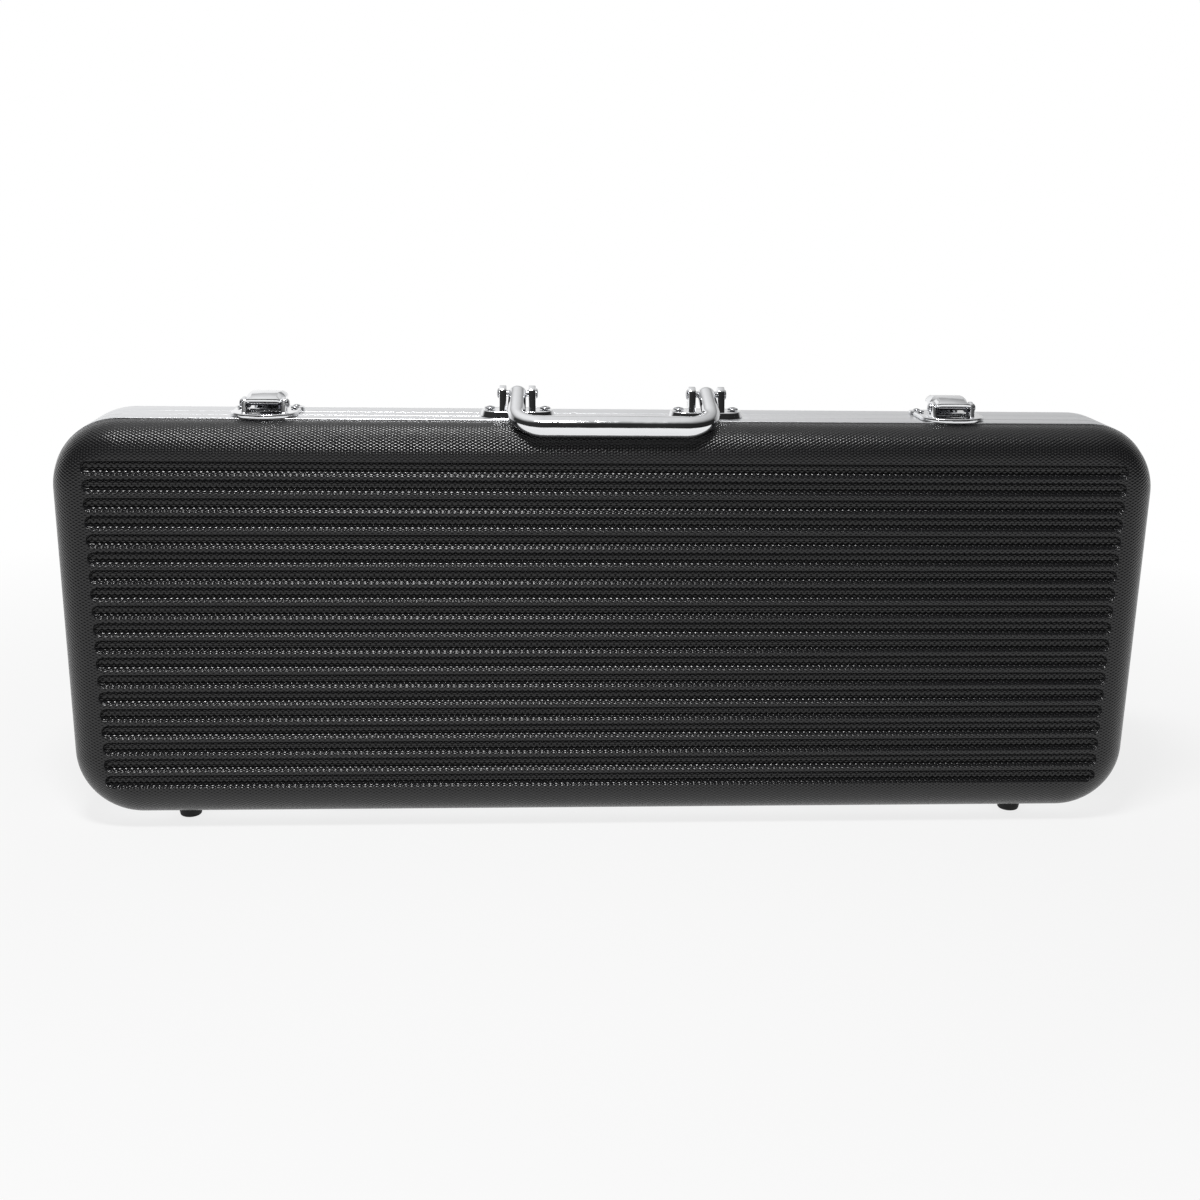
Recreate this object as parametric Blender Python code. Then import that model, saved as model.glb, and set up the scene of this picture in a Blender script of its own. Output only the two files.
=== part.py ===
"""Poker chip case: two ribbed plastic half shells in aluminium frames, closed by two latches.

The case stands upright on the feet of its hinge side, with its handle and latches on top.
X runs along the case, Y from its front to its back, Z up. All lengths are in metres.
"""

from math import acos, atan2, cos, hypot, pi, radians, sin, sqrt

import bmesh
import bpy
from mathutils import Matrix, Vector

# Case
CASE_WIDTH = 0.560
CASE_HEIGHT = 0.210
CORNER_RADIUS = 0.035
BASE_FRAME_DEPTH = 0.0224
LID_FRAME_DEPTH = 0.0144
SHELL_PROUD = 0.0169
SHELL_INSET = 0.0006
SHELL_EDGE_RADIUS = 0.0165
SHELL_WALL = 0.0027
SHELL_FACE_THICKNESS = 0.0046

# Gap between pieces that touch
SEAT_GAP = 0.0003
# How far a cutter reaches past what it cuts
OVERRUN = 0.0010
# Points closer than this are one point
MERGE_DISTANCE = 0.00001

# Ribbed panel: grooves across the shell's face
PANEL_SIDE_MARGIN = 0.0184
PANEL_END_MARGIN = 0.0190
GROOVE_COUNT = 19
GROOVE_DEPTH = 0.0030
CREST_WIDTH = 0.0026

# Aluminium frame: an extrusion bent round each half
FRAME_LIP = 0.0010
FRAME_SKIN = 0.0012
FRAME_LEG = 0.0012
FRAME_WEB = 0.0015
FRAME_CHANNEL_DEPTH = 0.0080
FRAME_EDGE_BREAK = 0.0004
TONGUE_THICKNESS = 0.0012
TONGUE_REACH = 0.0025
TRIM_LINE_FROM_EDGE = 0.0107
TRIM_LINE_WIDTH = 0.0007
TRIM_LINE_DEPTH = 0.0004

# Trays in the base
CHIP_CHANNEL_RADIUS = 0.0200
CHANNEL_END_MARGIN = 0.0235
CHANNEL_SIDE_MARGIN = 0.0130
CHANNEL_LAND = 0.0014
TRAY_WALL = 0.0012
TRAY_SIDE_CLEARANCE = 0.0006
ACCESSORY_WIDTH = 0.1180
CARD_WELL_WIDTH = 0.0920
WELL_END_MARGIN = 0.0240
DICE_SLOT_HEIGHT = 0.0200
WELL_DEPTH = 0.0190
WELL_LAND = 0.0050

# Pad in the lid
PAD_SIDE_CLEARANCE = 0.0005
PAD_THICKNESS = 0.0180
PAD_ROUND = 0.0030

# Handle
HANDLE_SPACING = 0.0964
HANDLE_PIN_FROM_PARTING = 0.0090
HANDLE_PIN_HEIGHT = 0.0114
HANDLE_PIN_RADIUS = 0.0016
HANDLE_PIN_HEAD_RADIUS = 0.0026
HANDLE_PIN_HEAD_HEIGHT = 0.0010
BRACKET_LENGTH = 0.0380
BRACKET_WIDTH = 0.0170
BRACKET_PLATE = 0.0029
BRACKET_EAR_THICKNESS = 0.0036
BRACKET_EAR_GAP = 0.0112
BRACKET_EAR_RADIUS = 0.0040
BRACKET_EAR_FOOT = 0.0110
BRACKET_SCREW_SPACING = 0.0280
BRACKET_SCREW_HEAD_RADIUS = 0.0028
BRACKET_SCREW_HEAD_HEIGHT = 0.0014
BAIL_ARM_LENGTH = 0.0316
BAIL_ARM_RADIUS = 0.0046
BAIL_ARM_FLATTENING = 0.0009
BAIL_SPREAD = 0.0006
BAIL_BEND_RADIUS = 0.0135
GRIP_RADIUS = 0.0054
GRIP_CROWN = 0.0018
RUNNING_CLEARANCE = 0.0003

# Latches
LATCH_FROM_END = 0.1047
LATCH_WIDTH = 0.0330
LATCH_PLATE = 0.0018
LATCH_BACK_FROM_PARTING = 0.0006
LATCH_SIDE_LENGTH = 0.0135
LATCH_FRONT_REACH = 0.0115
LATCH_WINDOW_WIDTH = 0.0176
LATCH_WINDOW_LENGTH = 0.0130
LATCH_WINDOW_FROM_PARTING = 0.0055
LATCH_EAR_THICKNESS = 0.0020
LATCH_EAR_RADIUS = 0.0032
LATCH_EAR_FOOT = 0.0125
LEVER_PIN_FROM_PARTING = 0.0120
LEVER_PIN_HEIGHT = 0.0060
LEVER_PIN_RADIUS = 0.0012
LEVER_PIN_HEAD_RADIUS = 0.0023
LEVER_PIN_HEAD_HEIGHT = 0.0015
LATCH_RIVET_SPACING = 0.0270
LATCH_RIVET_FROM_PARTING = 0.0030
RIVET_RADIUS = 0.0018
RIVET_HEIGHT = 0.0009
LEVER_WIDTH = 0.0168
LEVER_SHOULDER_WIDTH = 0.0196
LEVER_WALL = 0.0012
LEVER_TOP = 0.0110
LEVER_RISE = 0.0027
LEVER_FRONT_REACH = 0.0050
LEVER_BACK_REACH = 0.0190
CLAW_PIN_REACH = 0.0070
CLAW_PIN_HEIGHT = 0.0068
CLAW_PIN_RADIUS = 0.0009
CLAW_WIDTH = 0.0110
CLAW_BARREL_RADIUS = 0.0018
CLAW_PLATE = 0.0014
CATCH_LENGTH = 0.0350
CATCH_WIDTH = 0.0078
CATCH_PLATE = 0.0014
CATCH_FROM_PARTING = 0.0010
CATCH_RIB_LENGTH = 0.0150
CATCH_RIB_RADIUS = 0.0015
CATCH_RIB_FROM_PARTING = 0.0034
CATCH_SCREW_SPACING = 0.0270

# Hinges
HINGE_FROM_END = 0.1500
HINGE_LENGTH = 0.0400
HINGE_LEAF_REACH = 0.0130
HINGE_LEAF_THICKNESS = 0.0012
HINGE_KNUCKLE_RADIUS = 0.0024
HINGE_PIN_RADIUS = 0.0011
HINGE_KNUCKLE_COUNT = 5
HINGE_RIVET_SPACING = 0.0260

# Feet
FOOT_FROM_END = 0.0560
FOOT_RADIUS = 0.0065
FOOT_TAPER = 0.0007
FOOT_HEIGHT = 0.0060
BASE_FOOT_FROM_PARTING = 0.0155
LID_FOOT_FROM_PARTING = 0.0072
FOOT_WELL_RADIUS = 0.0033
FOOT_WELL_DEPTH = 0.0030
FOOT_SCREW_HEAD_RADIUS = 0.0028
FOOT_SCREW_HEAD_HEIGHT = 0.0012
FOOT_SCREW_RADIUS = 0.0015

# Facets
CORNER_STEPS = 6
EDGE_STEPS = 4
GROOVE_SIDES = 10
GROOVE_END_STEPS = 2
CHANNEL_SIDES = 20
BAR_SIDES = 12
BEND_STEPS = 6
GRIP_STEPS = 6
PIN_SIDES = 12
FASTENER_SIDES = 8
EAR_STEPS = 6
FOOT_SIDES = 16

# The frame's middle plane is y = 0, and z = 0 is the underside of the shells
FRAME_DEPTH = BASE_FRAME_DEPTH + LID_FRAME_DEPTH
FRONT_EDGE = -FRAME_DEPTH / 2
PARTING = FRONT_EDGE + BASE_FRAME_DEPTH
RIM_INSET = FRAME_LIP + SEAT_GAP
FRAME_LEG_INSET = SHELL_INSET + SHELL_WALL + SEAT_GAP
FRAME_INNER_INSET = FRAME_LEG_INSET + FRAME_LEG
SHELL_FACE = FRAME_DEPTH / 2 + SHELL_PROUD
SHELL_FLOOR = SHELL_FACE - SHELL_FACE_THICKNESS
SHELL_RIM = FRAME_DEPTH / 2 - FRAME_CHANNEL_DEPTH + SEAT_GAP
SHELL_INNER_RADIUS = SHELL_EDGE_RADIUS - SHELL_WALL
TRAY_FACE = -SHELL_FLOOR + SEAT_GAP + TRAY_WALL + CHIP_CHANNEL_RADIUS
CHANNEL_PITCH = 2 * CHIP_CHANNEL_RADIUS + CHANNEL_LAND
CHANNELS_PER_TRAY = int((CASE_WIDTH / 2 - CHANNEL_SIDE_MARGIN - ACCESSORY_WIDTH / 2) / CHANNEL_PITCH)
CHIP_CHANNEL_LENGTH = CASE_HEIGHT - 2 * CHANNEL_END_MARGIN
CARD_WELL_HEIGHT = (CASE_HEIGHT - 2 * WELL_END_MARGIN - DICE_SLOT_HEIGHT) / 2 - WELL_LAND
HALF_WIDTH = CASE_WIDTH / 2
BASE = -1
LID = 1
SIDES = {"left": -1, "right": 1}
UP = (0.0, 0.0, 1.0)
DOWN = (0.0, 0.0, -1.0)


def clear_scene():
    """Remove whatever the scene holds, so that the script can run again in the same file."""
    for thing in list(bpy.data.objects):
        bpy.data.objects.remove(thing, do_unlink=True)


def finish(name, colour, roughness, metallic):
    """A Principled material of one colour."""
    material = bpy.data.materials.new(name)
    material.use_nodes = True
    shader = material.node_tree.nodes["Principled BSDF"]
    shader.inputs["Base Color"].default_value = (*colour, 1.0)
    shader.inputs["Roughness"].default_value = roughness
    shader.inputs["Metallic"].default_value = metallic
    material.diffuse_color = (*colour, 1.0)
    return material


def new_empty(name):
    """An empty that carries pieces."""
    empty = bpy.data.objects.new(name, None)
    bpy.context.collection.objects.link(empty)
    return empty


def piece(name, bm, material, parent, origin=(0.0, 0.0, 0.0)):
    """Turn a bmesh, drawn in the case's own frame, into an object whose origin is given."""
    bmesh.ops.translate(bm, verts=bm.verts, vec=-Vector(origin))
    bmesh.ops.recalc_face_normals(bm, faces=bm.faces)
    mesh = bpy.data.meshes.new(name)
    bm.to_mesh(mesh)
    bm.free()
    mesh.materials.append(material)
    mesh.shade_smooth()
    mesh.set_sharp_from_angle(angle=radians(35))
    thing = bpy.data.objects.new(name, mesh)
    bpy.context.collection.objects.link(thing)
    thing.parent = parent
    thing.location = origin
    return thing


def cut(target, name, bm, operation="DIFFERENCE"):
    """Cut a closed shape, drawn in the case's own frame, out of a piece, or join it to the piece."""
    tool = piece(name, bm, target.data.materials[0], target.parent)
    tool.hide_render = True
    tool.display_type = "WIRE"
    modifier = target.modifiers.new(name, "BOOLEAN")
    modifier.operation = operation
    modifier.object = tool
    return tool


def loft(bm, rings, closed=False):
    """Skin a row of rings. An open row is capped at both ends, a closed one joins up with its first ring."""
    loops = [[bm.verts.new(point) for point in points] for points in rings]
    pairs = list(zip(loops, loops[1:]))
    if closed:
        pairs.append((loops[-1], loops[0]))
    for first, second in pairs:
        for i in range(len(first)):
            bm.faces.new((first[i - 1], first[i], second[i], second[i - 1]))
    if not closed:
        bm.faces.new(loops[0])
        bm.faces.new(loops[-1])


def add_box(bm, low, high):
    """A box between two opposite corners."""
    low = Vector(low)
    high = Vector(high)
    size = Matrix.Diagonal((*(high - low), 1.0))
    bmesh.ops.create_cube(bm, size=1.0, matrix=Matrix.Translation((low + high) / 2) @ size)


def add_cylinder(bm, start, end, radius, sides, end_radius=None):
    """A cylinder, or a cone, from one point to another."""
    start = Vector(start)
    end = Vector(end)
    turn = (end - start).to_track_quat("Z", "Y").to_matrix().to_4x4()
    place = Matrix.Translation((start + end) / 2) @ turn
    bmesh.ops.create_cone(
        bm, cap_ends=True, cap_tris=False, segments=sides, radius1=radius,
        radius2=radius if end_radius is None else end_radius, depth=(end - start).length, matrix=place)


def add_turned(bm, profile, centre, axis, sides):
    """Spin a profile of (along, radius) points, which starts and ends on the axis, round that axis."""
    axis = Vector(axis).normalized()
    side = axis.orthogonal().normalized()
    verts = [bm.verts.new(Vector(centre) + axis * along + side * radius) for along, radius in profile]
    edges = [bm.edges.new(pair) for pair in zip(verts, verts[1:])]
    bmesh.ops.spin(bm, geom=verts + edges, cent=centre, axis=axis, angle=2 * pi, steps=sides, use_merge=True)
    bmesh.ops.remove_doubles(bm, verts=bm.verts, dist=MERGE_DISTANCE)


def add_prism(bm, points, offset):
    """Extrude a closed outline of 3D points by an offset."""
    face = bm.faces.new([bm.verts.new(point) for point in points])
    grown = bmesh.ops.extrude_face_region(bm, geom=[face], use_keep_orig=True)
    moved = [item for item in grown["geom"] if isinstance(item, bmesh.types.BMVert)]
    bmesh.ops.translate(bm, verts=moved, vec=offset)


def arc(centre, radii, start, end, steps):
    """Points of an elliptical arc in two dimensions."""
    turns = [start + (end - start) * i / steps for i in range(steps + 1)]
    return [(centre[0] + radii[0] * cos(turn), centre[1] + radii[1] * sin(turn)) for turn in turns]


def case_outline(inset, y, steps=CORNER_STEPS):
    """The case's outline seen from the front, drawn in by an inset, at one depth."""
    radius = CORNER_RADIUS - inset
    across = CASE_WIDTH / 2 - CORNER_RADIUS
    corners = (
        (across, CASE_HEIGHT - CORNER_RADIUS, 0),
        (-across, CASE_HEIGHT - CORNER_RADIUS, 1),
        (-across, CORNER_RADIUS, 2),
        (across, CORNER_RADIUS, 3))
    points = []
    for x, z, quarter in corners:
        start = quarter * pi / 2
        points += [(px, y, pz) for px, pz in arc((x, z), (radius, radius), start, start + pi / 2, steps)]
    return points


def shell(name, half, material, parent):
    """A half shell: a dish with a rounded edge, a thick face and grooves across that face.

    Its rim steps in behind the frame's lip, which leaves the two nearly flush outside.
    """
    rings = []
    for i in range(EDGE_STEPS + 1):
        turn = i * pi / 2 / EDGE_STEPS
        inset = SHELL_INSET + SHELL_EDGE_RADIUS * (1 - sin(turn))
        rings.append((inset, SHELL_FACE - SHELL_EDGE_RADIUS * (1 - cos(turn))))
    step = FRAME_DEPTH / 2 + SEAT_GAP
    rings += [(SHELL_INSET, step), (RIM_INSET, step), (RIM_INSET, SHELL_RIM)]
    rings.append((SHELL_INSET + SHELL_WALL, SHELL_RIM))
    for i in reversed(range(EDGE_STEPS + 1)):
        turn = i * pi / 2 / EDGE_STEPS
        inset = SHELL_INSET + SHELL_WALL + SHELL_INNER_RADIUS * (1 - sin(turn))
        rings.append((inset, SHELL_FLOOR - SHELL_INNER_RADIUS * (1 - cos(turn))))
    bm = bmesh.new()
    loft(bm, [case_outline(inset, half * y) for inset, y in rings])
    body = piece(name, bm, material, parent)

    # Each groove is a round bar with ball ends, sunk into the face
    panel_height = CASE_HEIGHT - 2 * PANEL_END_MARGIN
    pitch = (panel_height + CREST_WIDTH) / GROOVE_COUNT
    half_width = (pitch - CREST_WIDTH) / 2
    radius = (half_width ** 2 + GROOVE_DEPTH ** 2) / (2 * GROOVE_DEPTH)
    centre_y = half * (SHELL_FACE - GROOVE_DEPTH + radius)
    reach = CASE_WIDTH / 2 - PANEL_SIDE_MARGIN - radius
    ball = arc((reach, 0.0), (radius, radius), pi / 2, 0.0, GROOVE_END_STEPS + 1)
    ball[-1] = (reach + radius, 0.0)
    profile = [(-along, away) for along, away in reversed(ball)] + ball
    bm = bmesh.new()
    for i in range(GROOVE_COUNT):
        z = PANEL_END_MARGIN + half_width + i * pitch
        add_turned(bm, profile, (0.0, centre_y, z), (1.0, 0.0, 0.0), GROOVE_SIDES)
    cut(body, name + "_groove_cutter", bm)
    return body


def frame(name, half, material, parent):
    """A bent extrusion: a channel for the shell's edge, and at the parting a tongue or the groove for it."""
    edge = FRAME_DEPTH / 2
    part = half * PARTING + SEAT_GAP / 2
    channel = edge - FRAME_CHANNEL_DEPTH
    web = channel - FRAME_WEB
    leg = FRAME_LEG_INSET
    leg_edge = SHELL_FLOOR - SHELL_INNER_RADIUS - SEAT_GAP
    profile = [(FRAME_LIP, edge), (FRAME_EDGE_BREAK, edge), (0.0, edge - FRAME_EDGE_BREAK)]
    if half == BASE:
        line = edge - TRIM_LINE_FROM_EDGE
        profile += [
            (0.0, line + TRIM_LINE_WIDTH / 2), (TRIM_LINE_DEPTH, line), (0.0, line - TRIM_LINE_WIDTH / 2)]
    profile += [(0.0, part + FRAME_EDGE_BREAK / 2), (FRAME_EDGE_BREAK / 2, part)]
    profile += [(FRAME_SKIN, part), (FRAME_SKIN, web)]
    if half == BASE:
        tongue = FRAME_SKIN + SEAT_GAP
        tip = part - TONGUE_REACH
        tongue_back = tongue + TONGUE_THICKNESS
        profile += [(tongue, web), (tongue, tip), (tongue_back, tip), (tongue_back, web)]
    profile += [(leg, web), (leg, part), (leg + FRAME_LEG, part), (leg + FRAME_LEG, leg_edge)]
    profile += [(leg, leg_edge), (leg, channel), (FRAME_LIP, channel)]
    bm = bmesh.new()
    loft(bm, [case_outline(inset, half * y) for inset, y in profile], closed=True)
    return piece(name, bm, material, parent)


def tray_plate(bm, low_x, high_x):
    """The flat top of a tray, between two upright lines and inside the base frame."""
    inset = FRAME_INNER_INSET + TRAY_SIDE_CLEARANCE
    outline = case_outline(inset, TRAY_FACE)
    held = [(min(max(x, low_x), high_x), y, z) for x, y, z in outline]
    points = [point for i, point in enumerate(held) if point != held[i - 1]]
    add_prism(bm, points, (0.0, -TRAY_WALL, 0.0))


def channel_place(side, number):
    """The middle of a chip channel along X, counted outwards from the middle tray."""
    first = ACCESSORY_WIDTH / 2 + SEAT_GAP + TRAY_WALL + CHIP_CHANNEL_RADIUS
    return side * (first + number * CHANNEL_PITCH)


def chip_tray(side_name, side, material, parent):
    """Half-round channels that hang from a flat plate."""
    ends = sorted((side * (ACCESSORY_WIDTH / 2 + SEAT_GAP / 2), side * HALF_WIDTH))
    middle = CASE_HEIGHT / 2
    bm = bmesh.new()
    tray_plate(bm, ends[0], ends[1])
    tray = piece("chip_tray_" + side_name, bm, material, parent)
    for number in range(CHANNELS_PER_TRAY):
        x = channel_place(side, number)
        reach = CHIP_CHANNEL_LENGTH / 2 + TRAY_WALL
        bm = bmesh.new()
        add_cylinder(bm, (x, TRAY_FACE, middle - reach), (x, TRAY_FACE, middle + reach),
                     CHIP_CHANNEL_RADIUS + TRAY_WALL, CHANNEL_SIDES)
        # Only the half below the tray's face is a trough
        bmesh.ops.bisect_plane(
            bm, geom=bm.verts[:] + bm.edges[:] + bm.faces[:], dist=MERGE_DISTANCE,
            plane_co=(x, TRAY_FACE - TRAY_WALL / 2, middle), plane_no=(0.0, 1.0, 0.0), clear_outer=True)
        bmesh.ops.holes_fill(bm, edges=bm.edges[:])
        cut(tray, f"trough_{side_name}_{number}", bm, "UNION")
    for number in range(CHANNELS_PER_TRAY):
        x = channel_place(side, number)
        reach = CHIP_CHANNEL_LENGTH / 2
        bm = bmesh.new()
        add_cylinder(bm, (x, TRAY_FACE, middle - reach), (x, TRAY_FACE, middle + reach),
                     CHIP_CHANNEL_RADIUS, CHANNEL_SIDES)
        cut(tray, f"channel_cutter_{side_name}_{number}", bm)


def accessory_tray(material, parent):
    """Two card wells and a dice slot that hang from a flat plate."""
    half_width = ACCESSORY_WIDTH / 2 - SEAT_GAP / 2
    bm = bmesh.new()
    tray_plate(bm, -half_width, half_width)
    tray = piece("accessory_tray", bm, material, parent)
    low = WELL_END_MARGIN
    for number, height in enumerate((CARD_WELL_HEIGHT, DICE_SLOT_HEIGHT, CARD_WELL_HEIGHT)):
        half = CARD_WELL_WIDTH / 2
        floor = TRAY_FACE - WELL_DEPTH
        bm = bmesh.new()
        add_box(bm, (-half - TRAY_WALL, floor - TRAY_WALL, low - TRAY_WALL),
                (half + TRAY_WALL, TRAY_FACE - TRAY_WALL / 2, low + height + TRAY_WALL))
        cut(tray, f"well_{number}", bm, "UNION")
        bm = bmesh.new()
        add_box(bm, (-half, floor, low), (half, TRAY_FACE + OVERRUN, low + height))
        cut(tray, f"well_cutter_{number}", bm)
        low += height + WELL_LAND


def lid_pad(material, parent):
    """A flat pad against the lid's face, rounded towards the chips."""
    margin = SHELL_INSET + SHELL_EDGE_RADIUS + PAD_SIDE_CLEARANCE
    back = SHELL_FLOOR - SEAT_GAP
    front = back - PAD_THICKNESS
    rings = [(margin, back), (margin, front + PAD_ROUND)]
    rings += [(margin + PAD_ROUND * (1 - cos(turn)), front + PAD_ROUND * (1 - sin(turn)))
              for turn in (pi / 6, pi / 3, pi / 2)]
    bm = bmesh.new()
    loft(bm, [case_outline(inset, y) for inset, y in rings])
    return piece("lid_pad", bm, material, parent)


def ear_outline(foot, radius, height):
    """The side view of an ear: a straight foot of given length that narrows to a round top."""
    lean = acos(radius / hypot(foot / 2, height)) if hypot(foot / 2, height) > radius else 0.0
    reach = atan2(-height, foot / 2) + lean
    points = [(foot / 2, -height)]
    points += arc((0.0, 0.0), (radius, radius), reach, pi - reach, EAR_STEPS)
    points.append((-foot / 2, -height))
    return points


def add_ears(bm, centre_x, pin_y, pin_z, foot_z, gap, thickness, radius, foot):
    """Two upright ears on either side of a gap, drawn as solids that a plate is joined to."""
    outline = ear_outline(foot, radius, pin_z - foot_z)
    for side in SIDES.values():
        x = centre_x + side * gap / 2
        points = [(x, pin_y + y, pin_z + z) for y, z in outline]
        add_prism(bm, points, (side * thickness, 0.0, 0.0))


# A head's rim and shoulder, and the small face of a pin's head, as shares of its height and radius
RIM_SHARE = 0.35
SHOULDER_SHARE = 0.80
PIN_FACE_SHARE = 0.70


def dome_head(radius, height, shank_radius, shank_length):
    """The profile of a domed head on a short shank, from the shank's end to the crown."""
    profile = [(-shank_length, 0.0), (-shank_length, shank_radius), (0.0, shank_radius), (0.0, radius)]
    profile.append((height * RIM_SHARE, radius))
    profile.append((height * SHOULDER_SHARE, radius * SHOULDER_SHARE))
    profile.append((height, 0.0))
    return profile


def fastener(name, profile, place, axis, steel, parent):
    """A screw or rivet, turned from its profile."""
    bm = bmesh.new()
    add_turned(bm, profile, place, axis, FASTENER_SIDES)
    piece(name, bm, steel, parent)


def flat_head_pin(bm, centre, half_length, radius, head_radius, head_height):
    """A pin along X with a head at each end."""
    profile = [
        (-half_length - head_height, 0.0), (-half_length - head_height, head_radius * PIN_FACE_SHARE),
        (-half_length - head_height / 2, head_radius), (-half_length, head_radius), (-half_length, radius),
        (half_length, radius), (half_length, head_radius), (half_length + head_height / 2, head_radius),
        (half_length + head_height, head_radius * PIN_FACE_SHARE), (half_length + head_height, 0.0)]
    add_turned(bm, profile, centre, (1.0, 0.0, 0.0), PIN_SIDES)


def handle_mounts(chrome, steel, parent):
    """Two eared brackets on the base frame, each with its pin and two screws."""
    pin_y = PARTING - HANDLE_PIN_FROM_PARTING
    plate_z = CASE_HEIGHT + SEAT_GAP
    plate_top = plate_z + BRACKET_PLATE
    pin_z = CASE_HEIGHT + HANDLE_PIN_HEIGHT
    end = BRACKET_WIDTH / 2
    for side_name, side in SIDES.items():
        x = side * HANDLE_SPACING / 2
        straight = BRACKET_LENGTH / 2 - end
        outline = arc((x + straight, pin_y), (end, end), -pi / 2, pi / 2, EAR_STEPS)
        outline += arc((x - straight, pin_y), (end, end), pi / 2, 3 * pi / 2, EAR_STEPS)
        bm = bmesh.new()
        add_prism(bm, [(px, py, plate_z) for px, py in outline], (0.0, 0.0, BRACKET_PLATE))
        bracket = piece("handle_bracket_" + side_name, bm, chrome, parent)
        bm = bmesh.new()
        add_ears(bm, x, pin_y, pin_z, plate_top - OVERRUN, BRACKET_EAR_GAP, BRACKET_EAR_THICKNESS,
                 BRACKET_EAR_RADIUS, BRACKET_EAR_FOOT)
        cut(bracket, "bracket_ears_" + side_name, bm, "UNION")
        bm = bmesh.new()
        reach = BRACKET_EAR_GAP / 2 + BRACKET_EAR_THICKNESS
        add_cylinder(bm, (x - reach - OVERRUN, pin_y, pin_z), (x + reach + OVERRUN, pin_y, pin_z),
                     HANDLE_PIN_RADIUS + RUNNING_CLEARANCE, PIN_SIDES)
        cut(bracket, "bracket_bore_" + side_name, bm)
        bm = bmesh.new()
        flat_head_pin(bm, (x, pin_y, pin_z), reach + RUNNING_CLEARANCE, HANDLE_PIN_RADIUS,
                      HANDLE_PIN_HEAD_RADIUS, HANDLE_PIN_HEAD_HEIGHT)
        piece("handle_pin_" + side_name, bm, steel, parent)
        head = dome_head(BRACKET_SCREW_HEAD_RADIUS, BRACKET_SCREW_HEAD_HEIGHT,
                         BRACKET_SCREW_HEAD_RADIUS / 2, BRACKET_PLATE / 2)
        bm = bmesh.new()
        for screw_name, screw_side in SIDES.items():
            screw_x = x + screw_side * BRACKET_SCREW_SPACING / 2
            add_cylinder(bm, (screw_x, pin_y, plate_z - OVERRUN), (screw_x, pin_y, plate_top + OVERRUN),
                         BRACKET_SCREW_HEAD_RADIUS / 2 + SEAT_GAP, PIN_SIDES)
            fastener(f"handle_screw_{side_name}_{screw_name}", head, (screw_x, pin_y, plate_top + SEAT_GAP),
                     UP, steel, parent)
        cut(bracket, "bracket_screw_holes_" + side_name, bm)


def grip_centre():
    """Where the bail's grip comes to rest: on the front shell's shoulder, an arm's length from the pins."""
    pin = Vector((PARTING - HANDLE_PIN_FROM_PARTING, CASE_HEIGHT + HANDLE_PIN_HEIGHT))
    shoulder = Vector((SHELL_EDGE_RADIUS - SHELL_FACE, CASE_HEIGHT - SHELL_INSET - SHELL_EDGE_RADIUS))
    reach = SHELL_EDGE_RADIUS + GRIP_RADIUS + 2 * SEAT_GAP
    between = shoulder - pin
    along = (between.length_squared + BAIL_ARM_LENGTH ** 2 - reach ** 2) / (2 * between.length)
    aside = sqrt(BAIL_ARM_LENGTH ** 2 - along ** 2)
    direction = between.normalized()
    return pin + direction * along + Vector((direction.y, -direction.x)) * aside


# The bail's arms end in a dome: how far round it each ring lies, as a share of half a turn, and the smallest
# ring's share of the arm's size
DOME_TURN_SHARES = (0.5, 0.38, 0.22, 0.0)
TIP_SHARE = 0.12


def bail_stations():
    """Stations from one arm's end to the other: place along X, reach from the pins, heading, size, blend."""
    arm_x = HANDLE_SPACING / 2
    bend_x = arm_x + BAIL_SPREAD
    bend = BAIL_BEND_RADIUS
    lean = atan2(BAIL_SPREAD, BAIL_ARM_LENGTH - bend)
    half = []
    for share in DOME_TURN_SHARES:
        turn = pi * share
        half.append((arm_x, -BAIL_ARM_RADIUS * sin(turn), pi / 2 - lean, max(cos(turn), TIP_SHARE), 0.0))
    half.append((bend_x, BAIL_ARM_LENGTH - bend, pi / 2, 1.0, 0.0))
    for i in range(1, BEND_STEPS + 1):
        turn = i * pi / 2 / BEND_STEPS
        x = bend_x - bend + bend * cos(turn)
        reach = BAIL_ARM_LENGTH - bend + bend * sin(turn)
        half.append((x, reach, pi / 2 + turn, 1.0, i / BEND_STEPS))
    straight = bend_x - bend
    grip = []
    for i in range(1, GRIP_STEPS):
        grip.append((straight - 2 * straight * i / GRIP_STEPS, BAIL_ARM_LENGTH, pi, 1.0, 1.0))
    other = [(-x, reach, 2 * pi - heading, size, blend) for x, reach, heading, size, blend in reversed(half)]
    return half + grip + other


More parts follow.
